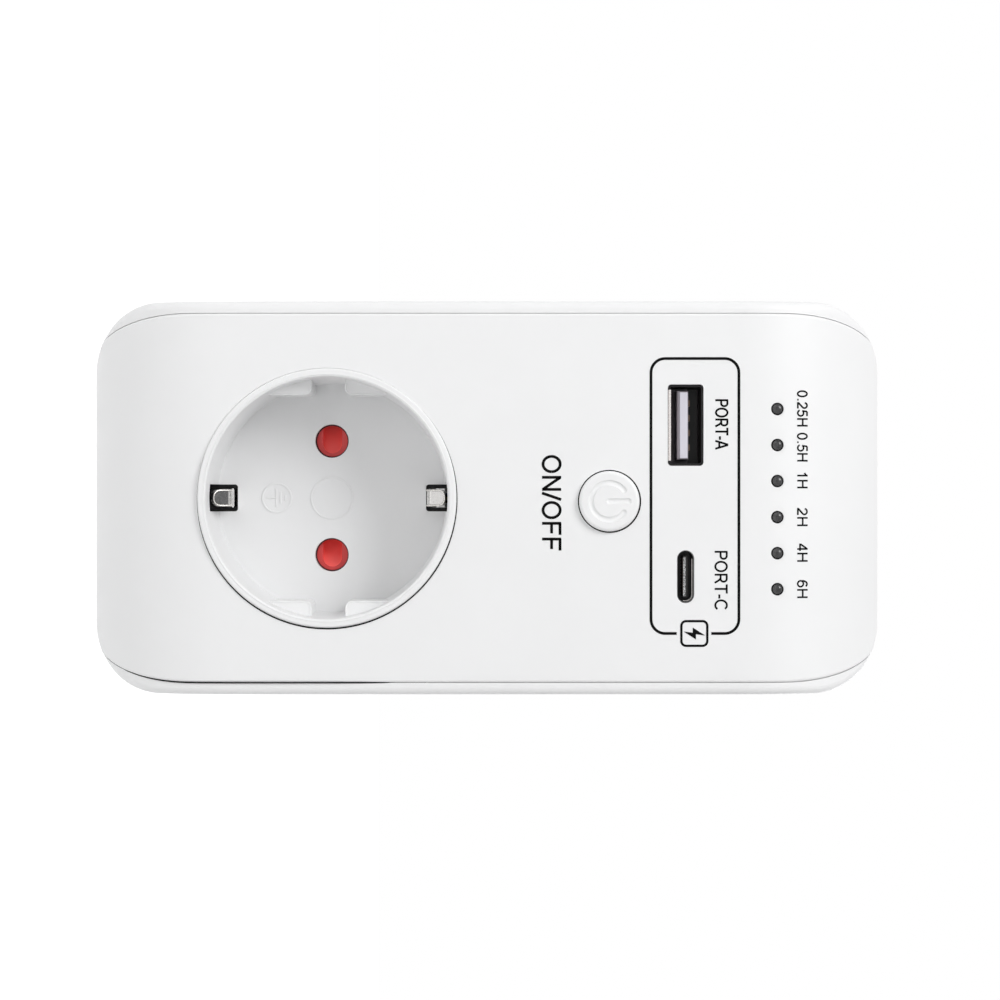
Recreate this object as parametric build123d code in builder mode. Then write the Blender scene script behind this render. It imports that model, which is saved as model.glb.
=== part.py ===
from build123d import *
import os

# Plug-in countdown timer with a side-earthed socket, USB-A and USB-C outlets.
#
# Frame: the origin is the middle of the plug's pin face, +Y points into the wall, +Z is up and
# +X is to the right as seen from the room. A "depth" is a distance in front of the pin face,
# towards the room, so depth d is at y = -d. All sizes are in millimetres.

# ---------------------------------------------------------------- housing
body_width = 63.9
body_height = 129.6
body_depth = 42.0
plug_depth = 18.0
socket_below_centre = 25.9
corner_radius = 11.5
arch_run = 22.3
arch_drop = 13.0
wall = 2.2
rear_edge_radius = 2.0
lip_width = 1.94
ledge_width = 0.2
shoulder_radius = 1.3
shoulder_step = 0.25

# ---------------------------------------------------------------- front cover
cover_thickness = 2.0
cover_gap = 0.06
cover_edge_radius = 0.45
cover_corner_long = 16.3
cover_corner_short = 7.0
seat_gap = 0.15

# ---------------------------------------------------------------- mains interface
pin_spacing = 19.0
pin_radius = 2.4
pin_shank_radius = 2.6
pin_length = 19.0
pin_tip = 1.4
entry_radius = 2.8

# ---------------------------------------------------------------- socket insert
ring_radius = 21.03
ring_proud = 0.5
ring_edge_radius = 0.35
rim_width = 1.33
wall_draft = 0.65
recess_depth = 17.5
floor_thickness = 2.0
ring_gap = 0.12
flange_width = 2.57
flange_thickness = 1.6
guide_reach = 2.2
guide_channel = 5.5
guide_height = 12.5
guide_corner = 1.0
earth_slot_width = 4.5
earth_slot_reach = 3.35
earth_slot_height = 14.0
earth_slot_corner = 0.5

# ---------------------------------------------------------------- plug base
plug_radius = 18.4
plug_flat = 16.4
plug_wall = 3.0
plug_groove_width = 6.0
plug_groove_depth = 2.0
plug_cavity_width = 25.2
plug_cavity_height = 26.0
plug_cavity_corner = 1.5
plug_edge_radius = 1.0
pin_boss_radius = 4.2
pin_boss_height = 7.0
press_gap = 0.03
plug_fit = 0.15
collar_width = 2.4
collar_thickness = 1.6
collar_notch = 24.0
pin_foot_radius = 3.0
pin_foot_height = 2.0

# ---------------------------------------------------------------- earth strips
earth_strip_thickness = 0.8
earth_strip_width = 4.2
earth_clip_width = 2.7
earth_clip_root = 8.0
earth_clip_tip = 1.2
earth_strip_radius = 16.8
earth_strip_start = 2.5
earth_clip_radius = 16.4
earth_clip_peak = 4.6
earth_clip_land = 3.0
earth_clip_reach = 2.9
earth_clip_rise = 1.6
earth_bend = 1.0
earth_fit = 0.4
bridge_thickness = 0.8

# ---------------------------------------------------------------- contacts and carrier
contact_bore = 2.45
contact_wall = 0.7
contact_slot = 0.8
contact_top_gap = 0.4
pocket_gap = 0.3
pocket_wall = 1.15
carrier_radius = 20.6
carrier_base = 2.5
bar_thickness = 0.8
bar_width = 3.0
bar_bend = 1.0
pin_bar_offset = 0.6
pin_bar_rise = 11.8
pin_bar_clear = 0.4
contact_bar_clear = 2.0
contact_bar_offset = 3.5
bar_end_inset = 2.0

# ---------------------------------------------------------------- safety shutter
shutter_thickness = 3.5
shutter_width = 8.8
shutter_travel = 5.9
shutter_cover = 0.15
shutter_gap = 0.3
ramp_width = 3.15
ramp_length = 8.0
ramp_lip = 0.4
ramp_angle = 28.0
ramp_reach = 2.0
spring_radius = 1.3
spring_wire = 0.2
spring_wire_sides = 6
spring_turns = 6
spring_half_length = 8.5
lug_length = 1.4

# ---------------------------------------------------------------- fasteners
case_screw_from_side = 7.45
case_screw_from_end = 10.75
case_screw_radius = 1.45
case_head_radius = 2.8
case_head_height = 2.2
case_screw_length = 15.0
case_seat_depth = 8.0
case_post_height = 11.8
head_round_share = 0.33
shell_post_radius = 4.7
cover_boss_radius = 3.4
thread_gap = 0.05
clear_gap = 0.25
small_screw_radius = 0.95
small_head_radius = 1.9
small_head_height = 1.3
small_screw_length = 6.0
carrier_screw_x = 12.0
carrier_screw_z = 12.5
carrier_boss_radius = 2.8
carrier_boss_height = 4.0

# ---------------------------------------------------------------- printed circuit boards
board_thickness = 1.6
board_corner = 1.5
main_board_rear_gap = 5.8
main_board_side_gap = 2.75
main_board_socket_gap = 0.9
main_board_from_top = 16.7
main_post_radius = 2.6
main_screw_inset = 3.6
control_board_front_gap = 15.1
control_board_boss_gap = 0.8
control_board_from_top = 6.2
control_board_length = 46.0
control_post_radius = 2.2
control_screw_inset = 2.9

# ---------------------------------------------------------------- power button
button_from_top = 44.9
button_across = 0.55
button_radius = 4.9
button_gap = 0.2
button_proud = 1.2
button_edge_radius = 0.6
button_travel = 0.4
button_flange = 1.3
button_flange_thickness = 1.4
button_rest_gap = 0.1
stem_radius = 1.8
guide_ring_gap = 0.3
guide_ring_wall = 1.2
guide_ring_height = 3.0
switch_side = 6.0
switch_height = 3.5
plunger_radius = 1.6
plunger_proud = 1.5
plunger_hold = 1.2

# ---------------------------------------------------------------- USB outlets
usb_from_top = 32.5
usb_a_x = -11.8
usb_a_width = 13.05
usb_a_thickness = 5.65
usb_a_corner = 0.6
usb_a_sheet = 0.3
usb_a_sunk = 0.6
usb_gap = 0.08
tongue_a_width = 11.2
tongue_a_thickness = 1.85
tongue_a_offset = 0.4
tongue_a_sunk = 1.1
tongue_a_edge = 0.37
usb_block_height = 4.0
strip_a_width = 1.0
strip_a_pitch = 2.4
strip_thickness = 0.25
usb_c_x = 12.8
usb_c_width = 8.94
usb_c_thickness = 3.16
usb_c_sheet = 0.3
usb_c_lip = 0.8
usb_c_opening_width = 8.6
usb_c_opening_thickness = 2.82
tongue_c_width = 6.7
tongue_c_thickness = 0.7
tongue_c_sunk = 1.0
strip_c_width = 0.25
strip_c_pitch = 0.5
strip_c_count = 12
strip_c_thickness = 0.06

# ---------------------------------------------------------------- timer lamps
lamp_from_top = 17.6
lamps_across = 0.2
lamp_count = 6
lamp_pitch = 5.85
lamp_radius = 0.97
lamp_gap = 0.06
lamp_proud = 0.45
lamp_dome = 0.78
holder_end_gap = 2.4
holder_height = 4.2
holder_front_gap = 1.2

# ---------------------------------------------------------------- electronic components
# a size is across and up; a place is across from the middle, and a share of the board's height;
# a headroom is what stays free between the component and the control board
relay_size = (15.5, 19.0)
relay_headroom = 2.0
relay_place = (-12.5, 0.30)
core_size = (16.0, 14.0, 4.5)
core_leg = 4.6
winding_size = (10.4, 8.6)
winding_headroom = 4.8
winding_gap = 0.2
transformer_place = (4.5, 0.40)
film_capacitor_size = (13.0, 6.0)
film_capacitor_headroom = 5.3
film_capacitor_place = (5.0, 0.11)
input_capacitor_radius = 4.0
input_capacitor_headroom = 3.3
input_capacitor_place = (19.0, 0.33)
output_capacitor_radius = 4.0
output_capacitor_headroom = 5.3
output_capacitor_place = (19.0, 0.56)
can_edge_radius = 0.5
rectifier_size = (6.4, 8.5)
rectifier_thickness = 3.2
rectifier_place = (6.0, 0.72)
fuse_radius = 2.0
fuse_length = 9.0
fuse_cap_length = 2.0
fuse_place = (-15.0, 0.64)
varistor_radius = 4.6
varistor_thickness = 4.0
varistor_edge_radius = 1.3
varistor_place = (16.4, 0.17)
chip_thickness = 1.7
usb_chip_size = (5.0, 6.2)
usb_chip_place = (-5.0, 0.68)
timer_chip_size = (10.0, 6.0)
timer_chip_place = (0.0, 0.29)
header_size = (15.2, 2.5)
header_place = (-8.0, 0.89)
component_corner = 0.4

# ---------------------------------------------------------------- worked out from the above
quarter_turn = 90
half_width = body_width / 2
half_height = body_height / 2
centre_height = socket_below_centre
top_end = centre_height + half_height
rear_face = plug_depth
rear_inside = rear_face + wall
front_face = plug_depth + body_depth
cover_back = front_face - cover_thickness
arch_flat = body_height - 2 * arch_run
arch_radius = (arch_run**2 + arch_drop**2) / (2 * arch_drop)
cover_half_width = half_width - lip_width - cover_gap

mouth_radius = ring_radius - rim_width
floor_radius = mouth_radius - wall_draft
flange_radius = ring_radius + flange_width
guide_face = floor_radius - guide_reach
earth_slot_start = floor_radius - earth_slot_reach
ring_rim = front_face + ring_proud
floor_front = ring_rim - recess_depth
floor_back = floor_front - floor_thickness
pin_x = pin_spacing / 2
pin_places = [(-pin_x, 0), (pin_x, 0)]

shutter_front = floor_back - shutter_gap
shutter_back = shutter_front - shutter_thickness
carrier_top = floor_back
base_front = shutter_back - shutter_gap
base_back = base_front - carrier_base
contact_foot = rear_inside + contact_bar_clear + bar_thickness
contact_outer = contact_bore + contact_wall
pocket_bore = contact_outer + pocket_gap
pocket_radius = pocket_bore + pocket_wall
bar_back = contact_foot - bar_thickness

case_screw_x = half_width - case_screw_from_side
case_screw_z = half_height - case_screw_from_end
case_places = [
    (side * case_screw_x, centre_height + end * case_screw_z) for side in (-1, 1) for end in (-1, 1)
]
case_seat = rear_face + case_seat_depth
case_joint = rear_inside + case_post_height
carrier_places = [(a * carrier_screw_x, b * carrier_screw_z) for a in (-1, 1) for b in (-1, 1)]

main_board_depth = rear_inside + main_board_rear_gap
main_board_front = main_board_depth + board_thickness
main_board_width = body_width - 2 * (wall + main_board_side_gap)
main_board_bottom = flange_radius + main_board_socket_gap
main_board_top = top_end - main_board_from_top
main_board_length = main_board_top - main_board_bottom
main_places = [
    (side * (main_board_width / 2 - main_screw_inset), height)
    for side in (-1, 1)
    for height in (main_board_bottom + main_screw_inset, main_board_top - main_screw_inset)
]
control_board_depth = front_face - control_board_front_gap
control_board_front = control_board_depth + board_thickness
control_board_width = 2 * (case_screw_x - cover_boss_radius - control_board_boss_gap)
control_board_top = top_end - control_board_from_top
control_board_bottom = control_board_top - control_board_length
control_places = [
    (side * (control_board_width / 2 - control_screw_inset), height)
    for side in (-1, 1)
    for height in (control_board_bottom + control_screw_inset, control_board_top - control_screw_inset)
]
board_gap = control_board_depth - main_board_front
button_place = (button_across, top_end - button_from_top)
usb_height = top_end - usb_from_top
lamp_height = top_end - lamp_from_top
lamp_places = [
    (lamps_across + (i - (lamp_count - 1) / 2) * lamp_pitch, lamp_height) for i in range(lamp_count)
]


# ---------------------------------------------------------------- shared shapes
def facing(depth):
    """Plane parallel to the wall and facing the room; its sketch axes are X and Z."""
    return Plane(origin=(0, -depth, 0), x_dir=(1, 0, 0), z_dir=(0, -1, 0))


def surface_depth(height, inset=0.0):
    """Depth of the arched front at a height, or of the surface that lies inset behind it."""
    past_flat = max(abs(height - centre_height) - arch_flat / 2, 0.0)
    radius = arch_radius - inset
    return front_face - arch_radius + (radius**2 - min(past_flat, radius) ** 2) ** 0.5


def under_arch(inset):
    """Side profile of all that lies behind the arched front, inset from it."""
    radius = arch_radius - inset
    flat_end = arch_flat / 2
    spring_line = front_face - arch_radius
    top = front_face - inset
    with BuildSketch(Plane.YZ) as profile:
        with BuildLine():
            low = (-spring_line, centre_height - flat_end - radius)
            high = (-spring_line, centre_height + flat_end + radius)
            Polyline((low[0], low[1]), (body_depth, low[1]), (body_depth, high[1]), high)
            Line((-top, centre_height - flat_end), (-top, centre_height + flat_end))
            CenterArc((-spring_line, centre_height + flat_end), radius, quarter_turn, quarter_turn)
            CenterArc((-spring_line, centre_height - flat_end), radius, 2 * quarter_turn, quarter_turn)
        make_face()
    return profile.sketch


def housing_outline(depth):
    """The housing seen from the front."""
    with BuildSketch(facing(depth)) as outline:
        with Locations((0, centre_height)):
            RectangleRounded(body_width, body_height, corner_radius)
    return outline.sketch


def cover_outline(depth, grow=0.0):
    """The cover seen from the front: long soft corners, trimmed by the housing's own corners."""
    side = cover_half_width + grow
    end = half_height + grow
    straight = end - cover_corner_long
    narrow = side - cover_corner_short
    with BuildSketch() as soft_corners:
        with BuildLine():
            Line((side, 0), (side, straight))
            corner_middle = (narrow, straight)
            EllipticalCenterArc(
                corner_middle, cover_corner_short, cover_corner_long, 0, arc_size=quarter_turn
            )
            Line((narrow, end), (0, end))
            mirror(about=Plane.XZ)
            mirror(about=Plane.YZ)
        make_face()
    with BuildSketch(facing(depth)) as outline:
        with Locations((0, centre_height)):
            RectangleRounded(body_width + 2 * grow, body_height + 2 * grow, corner_radius)
            add(soft_corners.sketch, mode=Mode.INTERSECT)
    return outline.sketch


def plug_outline(depth, grow=0.0):
    """The round plug with its two flats."""
    with BuildSketch(facing(depth)) as outline:
        Circle(plug_radius + grow)
        Rectangle(2 * (plug_flat + grow), 2 * (plug_radius + grow), mode=Mode.INTERSECT)
    return outline.sketch


def bent_strip(points, thickness, bend, width, x):
    """A strip of sheet metal bent along a route of (depth, height) points, centred at x."""
    route = [(-depth, height) for depth, height in points]
    with BuildPart() as strip:
        with BuildSketch(Plane.YZ.offset(x)):
            with BuildLine() as centre_line:
                FilletPolyline(*route, radius=bend)
            trace(centre_line.line, line_width=thickness)
        extrude(amount=width / 2, both=True)
    return strip


def screws(places, seat, radius, length, head_radius, head_height, towards_room):
    """A group of pan-head screws whose heads rest on the seat plane."""
    forward = 1 if towards_room else -1
    with BuildPart() as group:
        with BuildSketch(facing(seat)):
            with Locations(*places):
                Circle(radius)
        extrude(amount=forward * length)
        with BuildSketch(facing(seat)):
            with Locations(*places):
                Circle(head_radius)
        extrude(amount=-forward * head_height)
        ends = group.edges().filter_by(GeomType.CIRCLE).group_by(Axis.Y)
        fillet(ends[-1] if towards_room else ends[0], radius=head_height * head_round_share)
    return group


def on_main_board(place):
    """Across and height of a place on the main board."""
    across, share = place
    return across, main_board_bottom + share * main_board_length


def component_box(place, size, out, seat, forward=1):
    """A moulded block that stands out from a board; its size is across and up."""
    with BuildPart() as block:
        with BuildSketch(facing(seat)):
            with Locations(place):
                RectangleRounded(*size, component_corner)
        extrude(amount=forward * out)
        tops = block.faces().sort_by(Axis.Y)
        chamfer((tops[0] if forward > 0 else tops[-1]).edges(), length=component_corner / 2)
    return block


def can(place, radius, length, seat):
    """An upright round component, such as an electrolytic capacitor."""
    with BuildPart() as body:
        with BuildSketch(facing(seat)):
            with Locations(place):
                Circle(radius)
        extrude(amount=length)
        fillet(body.edges().group_by(Axis.Y)[0], radius=can_edge_radius)
    return body


# ---------------------------------------------------------------- rear shell
with BuildPart() as cover_bed:
    # the space that the cover fills, grown by its gaps
    extrude(cover_outline(rear_face, cover_gap), amount=2 * body_depth)
    behind_cover = under_arch(cover_thickness + seat_gap)
    extrude(behind_cover, amount=body_width, both=True, mode=Mode.SUBTRACT)

with BuildPart() as hollow:
    # inside of the shell, kept within the cover's outline so that its corners rest on a ledge
    extrude(cover_outline(rear_inside, -ledge_width), amount=body_depth)
    with BuildSketch(facing(rear_inside)):
        with Locations((0, centre_height)):
            inner_width = body_width - 2 * wall
            inner_height = body_height - 2 * wall
            RectangleRounded(inner_width, inner_height, corner_radius - wall)
    extrude(amount=body_depth, mode=Mode.INTERSECT)

with BuildPart() as rear_shell:
    # outer form with its rounded shoulder and rear edge
    extrude(housing_outline(rear_face), amount=body_depth)
    extrude(under_arch(shoulder_step), amount=body_width, both=True, mode=Mode.INTERSECT)
    front_edges = rear_shell.faces().filter_by(lambda f: f.normal_at().Y < -0.05).edges()
    side_edges = rear_shell.faces().filter_by(lambda f: abs(f.normal_at().Y) < 0.01).edges()
    fillet([e for e in front_edges if any(e.is_same(o) for o in side_edges)], shoulder_radius)
    fillet(rear_shell.faces().sort_by(Axis.Y)[-1].edges(), rear_edge_radius)
    # hollow inside, and the bed of the cover
    add(hollow.part, mode=Mode.SUBTRACT)
    add(cover_bed.part, mode=Mode.SUBTRACT)
    # posts for the case screws and for the main board
    with BuildSketch(facing(rear_inside)):
        with Locations(*case_places):
            Circle(shell_post_radius)
    extrude(amount=case_joint - rear_inside)
    with BuildSketch(facing(rear_inside)):
        with Locations(*main_places):
            Circle(main_post_radius)
    extrude(amount=main_board_depth - rear_inside)
    # deep recesses for the case screws, opening at the rear face
    with BuildSketch(facing(rear_face)):
        with Locations(*case_places):
            Circle(case_head_radius + clear_gap)
    extrude(amount=case_seat_depth, mode=Mode.SUBTRACT)
    with BuildSketch(facing(case_seat)):
        with Locations(*case_places):
            Circle(case_screw_radius + clear_gap)
    extrude(amount=case_joint - case_seat, mode=Mode.SUBTRACT)
    with BuildSketch(facing(main_board_depth)):
        with Locations(*main_places):
            Circle(small_screw_radius + thread_gap)
    extrude(amount=-small_screw_length, mode=Mode.SUBTRACT)
    # hole for the plug base
    extrude(plug_outline(rear_face, plug_fit), amount=wall, mode=Mode.SUBTRACT)

# ---------------------------------------------------------------- front cover
with BuildPart() as cover_posts:
    # screw bosses and board posts, cut off inside the thickness of the cover
    with BuildSketch(facing(case_joint)):
        with Locations(*case_places):
            Circle(cover_boss_radius)
    extrude(amount=front_face - case_joint)
    with BuildSketch(facing(control_board_front)):
        with Locations(*control_places):
            Circle(control_post_radius)
    extrude(amount=front_face - control_board_front)
    extrude(under_arch(cover_thickness / 2), amount=body_width, both=True, mode=Mode.INTERSECT)

with BuildPart() as front_cover:
    # arched plate of even thickness
    extrude(cover_outline(rear_face), amount=body_depth)
    extrude(under_arch(0), amount=body_width, both=True, mode=Mode.INTERSECT)
    front_edges = front_cover.faces().filter_by(lambda f: f.normal_at().Y < -0.05).edges()
    side_edges = front_cover.faces().filter_by(lambda f: abs(f.normal_at().Y) < 0.01).edges()
    fillet([e for e in front_edges if any(e.is_same(o) for o in side_edges)], cover_edge_radius)
    extrude(under_arch(cover_thickness), amount=body_width, both=True, mode=Mode.SUBTRACT)
    add(cover_posts.part)
    # collar that guides the power button
    with BuildSketch(facing(cover_back)):
        with Locations(button_place):
            guide_radius = button_radius + button_flange + guide_ring_gap
            Circle(guide_radius + guide_ring_wall)
            Circle(guide_radius, mode=Mode.SUBTRACT)
    extrude(amount=-guide_ring_height)
    # pocket that leaves a thin lip in front of the USB-C outlet
    with BuildSketch(facing(front_face - usb_c_lip)):
        with Locations((usb_c_x, usb_height)):
            SlotOverall(usb_c_width + 2 * usb_gap, usb_c_thickness + 2 * usb_gap)
    extrude(amount=-cover_thickness, mode=Mode.SUBTRACT)
    # openings for the socket, the button, the USB outlets and the lamps
    with BuildSketch(facing(cover_back - cover_thickness)):
        Circle(ring_radius + ring_gap)
        with Locations(button_place):
            Circle(button_radius + button_gap)
        with Locations((usb_a_x, usb_height)):
            opening_width = usb_a_width + 2 * usb_gap
            RectangleRounded(opening_width, usb_a_thickness + 2 * usb_gap, usb_a_corner)
        with Locations((usb_c_x, usb_height)):
            SlotOverall(usb_c_opening_width, usb_c_opening_thickness)
        with Locations(*lamp_places):
            Circle(lamp_radius + lamp_gap)
    extrude(amount=3 * cover_thickness, mode=Mode.SUBTRACT)
    # pilot holes
    with BuildSketch(facing(case_joint)):
        with Locations(*case_places):
            Circle(case_screw_radius + thread_gap)
    extrude(amount=case_seat + case_screw_length + seat_gap - case_joint, mode=Mode.SUBTRACT)
    with BuildSketch(facing(control_board_front)):
        with Locations(*control_places):
            Circle(small_screw_radius + thread_gap)
    extrude(amount=small_screw_length - board_thickness + seat_gap, mode=Mode.SUBTRACT)

# ---------------------------------------------------------------- socket insert
with BuildPart() as insert_flange:
    # flange that clamps behind the cover and follows its curved underside
    with BuildSketch(facing(cover_back)):
        Circle(flange_radius)
        Circle(ring_radius - ring_edge_radius, mode=Mode.SUBTRACT)
    extrude(amount=-flange_thickness)
    behind_cover = under_arch(cover_thickness + seat_gap)
    extrude(behind_cover, amount=body_width, both=True, mode=Mode.INTERSECT)

with BuildPart() as socket_insert:
    # cup with a slightly drafted wall
    with BuildSketch(Plane.XY):
        with BuildLine():
            Polyline(
                (0, -floor_back),
                (ring_radius, -floor_back),
                (ring_radius, -ring_rim),
                (mouth_radius, -ring_rim),
                (floor_radius, -floor_front),
                (0, -floor_front),
                close=True,
            )
        make_face()
    revolve(axis=Axis.Y)
    fillet(socket_insert.edges().group_by(Axis.Y)[0], ring_edge_radius)
    add(insert_flange.part)
    # keyed guides at both ends of the pin line, each split by a channel
    with BuildSketch(facing(floor_front)):
        guide_middle = guide_face + ring_radius / 2
        guide_rise = guide_channel / 2 + ring_radius / 2
        with Locations(*[(a * guide_middle, b * guide_rise) for a in (-1, 1) for b in (-1, 1)]):
            RectangleRounded(ring_radius, ring_radius, guide_corner)
        Circle((mouth_radius + ring_radius) / 2, mode=Mode.INTERSECT)
    extrude(amount=guide_height)
    # slots for the earth clips, through the floor and up the wall
    with BuildSketch(facing(floor_back)):
        for end in (-1, 1):
            with Locations((0, end * (earth_slot_start + ring_radius / 2))):
                RectangleRounded(earth_slot_width, ring_radius, earth_slot_corner)
    extrude(amount=earth_slot_height, mode=Mode.SUBTRACT)
    # pin entries
    with BuildSketch(facing(floor_back)):
        with Locations(*pin_places):
            Circle(entry_radius)
    extrude(amount=floor_thickness, mode=Mode.SUBTRACT)
    # screw bosses under the floor
    with BuildSketch(facing(floor_back)):
        with Locations(*carrier_places):
            Circle(carrier_boss_radius)
    extrude(amount=-carrier_boss_height)
    with BuildSketch(facing(floor_back - carrier_boss_height)):
        with Locations(*carrier_places):
            Circle(small_screw_radius + thread_gap)
    extrude(amount=small_screw_length - carrier_base, mode=Mode.SUBTRACT)

# ---------------------------------------------------------------- contact carrier
with BuildPart() as contact_carrier:
    # disc behind the socket floor, cut away where the earth strips pass
    with BuildSketch(facing(base_back)):
        Circle(carrier_radius)
        strip_clear = earth_strip_radius - earth_strip_thickness / 2 - earth_fit
        for end in (-1, 1):
            with Locations((0, end * (strip_clear + carrier_radius / 2))):
                Rectangle(earth_clip_width + 2 * clear_gap, carrier_radius, mode=Mode.SUBTRACT)
    extrude(amount=carrier_top - base_back)
    # pockets that hold the contacts
    with BuildSketch(facing(contact_foot)):
        with Locations(*pin_places):
            Circle(pocket_radius)
    extrude(amount=base_back - contact_foot)
    with BuildSketch(facing(contact_foot)):
        with Locations(*pin_places):
            Circle(pocket_bore)
    extrude(amount=base_back - contact_foot, mode=Mode.SUBTRACT)
    with BuildSketch(facing(base_back)):
        with Locations(*pin_places):
            Circle(entry_radius)
    extrude(amount=carrier_base, mode=Mode.SUBTRACT)
    # track of the safety shutter, with the channel of its spring
    with BuildSketch(facing(base_front)):
        shutter_end = pin_x + entry_radius + shutter_cover
        track_left = -shutter_end - shutter_gap
        track_right = shutter_end + shutter_travel + shutter_gap
        with Locations(((track_left + track_right) / 2, 0)):
            Rectangle(track_right - track_left, shutter_width + 2 * shutter_gap)
        channel_width = 2 * spring_radius + 2 * shutter_gap
        channel_middle = -(shutter_width / 2 + channel_width / 2)
        with Locations((0, channel_middle)):
            Rectangle(2 * spring_half_length, channel_width + 2 * shutter_gap)
    extrude(amount=carrier_top - base_front, mode=Mode.SUBTRACT)
    # pockets and holes for the socket insert's bosses and their screws
    with BuildSketch(facing(floor_back - carrier_boss_height)):
        with Locations(*carrier_places):
            Circle(carrier_boss_radius + clear_gap)
    extrude(amount=carrier_boss_height, mode=Mode.SUBTRACT)
    with BuildSketch(facing(base_back)):
        with Locations(*carrier_places):
            Circle(small_screw_radius + clear_gap)
    extrude(amount=carrier_top - base_back, mode=Mode.SUBTRACT)

# ---------------------------------------------------------------- safety shutter and spring
with BuildPart() as ramp:
    # parallel pocket whose floor deepens to the left, so that a pin pushes the shutter right
    with BuildSketch(facing(shutter_front)):
        with Locations((ramp_reach - ramp_length / 2, 0)):
            SlotOverall(ramp_length, ramp_width)
    extrude(amount=-ramp_length)
    with BuildSketch(Plane.XY):
        with BuildLine():
            shallow_end = (ramp_reach, ramp_lip - shutter_front)
            ramp_floor = PolarLine(shallow_end, 2 * ramp_length, 2 * quarter_turn - ramp_angle)
            deep_end = ramp_floor @ 1
            Polyline(deep_end, (deep_end.X, -shutter_front), (ramp_reach, -shutter_front), shallow_end)
        make_face()
    extrude(amount=ramp_width, both=True, mode=Mode.INTERSECT)

with BuildPart() as safety_shutter:
    # plate that covers both pin entries at rest and lets both through when it has slid right
    with BuildSketch(facing(shutter_back)):
        RectangleRounded(2 * shutter_end, shutter_width, guide_corner)
        with Locations((pin_x - shutter_travel, 0)):
            Circle(entry_radius + shutter_cover, mode=Mode.SUBTRACT)
        # lug that the spring pushes
        with Locations((-spring_half_length + shutter_gap + lug_length / 2, channel_middle)):
            Rectangle(lug_length, channel_width)
    extrude(amount=shutter_thickness)
    for x, z in pin_places:
        add(ramp.part.moved(Location((x, 0, z))), mode=Mode.SUBTRACT)

with BuildPart() as shutter_spring:
    spring_start = -spring_half_length + shutter_gap + lug_length + spring_wire
    spring_length = spring_half_length - spring_wire - spring_start
    coil_start = (spring_start, -(shutter_front + shutter_back) / 2, channel_middle)
    coil_radius = spring_radius - spring_wire
    spring_pitch = spring_length / spring_turns
    with BuildLine():
        coil = Helix(spring_pitch, spring_length, coil_radius, coil_start, direction=(1, 0, 0))
    with BuildSketch(Plane(origin=coil @ 0, z_dir=coil % 0)):
        RegularPolygon(spring_wire, spring_wire_sides)
    sweep(path=coil)

# ---------------------------------------------------------------- plug base and pins
plug_top = rear_inside + collar_thickness
pin_inner_end = plug_wall + pin_boss_height + pin_foot_height
strip_inner = earth_strip_radius - earth_strip_thickness / 2

with BuildPart() as plug_base:
    extrude(plug_outline(0), amount=rear_inside)
    fillet(plug_base.edges().group_by(Axis.Y)[-1], plug_edge_radius)
    # collar inside the rear shell, open at the top where the bars pass
    extrude(plug_outline(rear_inside, collar_width), amount=collar_thickness)
    with BuildSketch(facing(rear_inside)):
        with Locations((0, plug_cavity_height / 2 - plug_cavity_corner + plug_radius / 2)):
            Rectangle(collar_notch, plug_radius)
    extrude(amount=collar_thickness, mode=Mode.SUBTRACT)
    # guide grooves at both ends of the pin line
    with BuildSketch(facing(0)):
        for side in (-1, 1):
            with Locations((side * plug_flat, 0)):
                Rectangle(2 * plug_groove_depth, plug_groove_width)
    extrude(amount=plug_depth, mode=Mode.SUBTRACT)
    # cavity, with a boss round each pin
    with BuildSketch(facing(plug_wall)):
        RectangleRounded(plug_cavity_width, plug_cavity_height, plug_cavity_corner)
    extrude(amount=plug_top - plug_wall, mode=Mode.SUBTRACT)
    with BuildSketch(facing(plug_wall)):
        with Locations(*pin_places):
            Circle(pin_boss_radius)
        Rectangle(plug_cavity_width + plug_wall, plug_cavity_height, mode=Mode.INTERSECT)
    extrude(amount=pin_boss_height)
    with BuildSketch(facing(0)):
        with Locations(*pin_places):
            Circle(pin_shank_radius + press_gap)
    extrude(amount=plug_wall + pin_boss_height, mode=Mode.SUBTRACT)
    # slots of the two earth strips
    with BuildSketch(facing(earth_strip_start - earth_fit)):
        for end in (-1, 1):
            with Locations((0, end * (strip_inner - press_gap + plug_radius / 2))):
                Rectangle(earth_strip_width + earth_fit, plug_radius)
    extrude(amount=plug_top, mode=Mode.SUBTRACT)


def build_pin(place):
    """A solid round pin: domed tip, thicker shank in the plug base, and a foot on its boss."""
    with BuildPart() as pin:
        with BuildSketch(facing(-pin_length)):
            with Locations(place):
                Circle(pin_radius)
        extrude(amount=pin_length)
        fillet(pin.edges().group_by(Axis.Y)[-1], pin_tip)
        with BuildSketch(facing(0)):
            with Locations(place):
                Circle(pin_shank_radius)
        extrude(amount=pin_inner_end)
        with BuildSketch(facing(pin_inner_end)):
            with Locations(place):
                Circle(pin_foot_radius)
        extrude(amount=-pin_foot_height)
    return pin


left_pin, right_pin = [build_pin(place) for place in pin_places]


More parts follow.
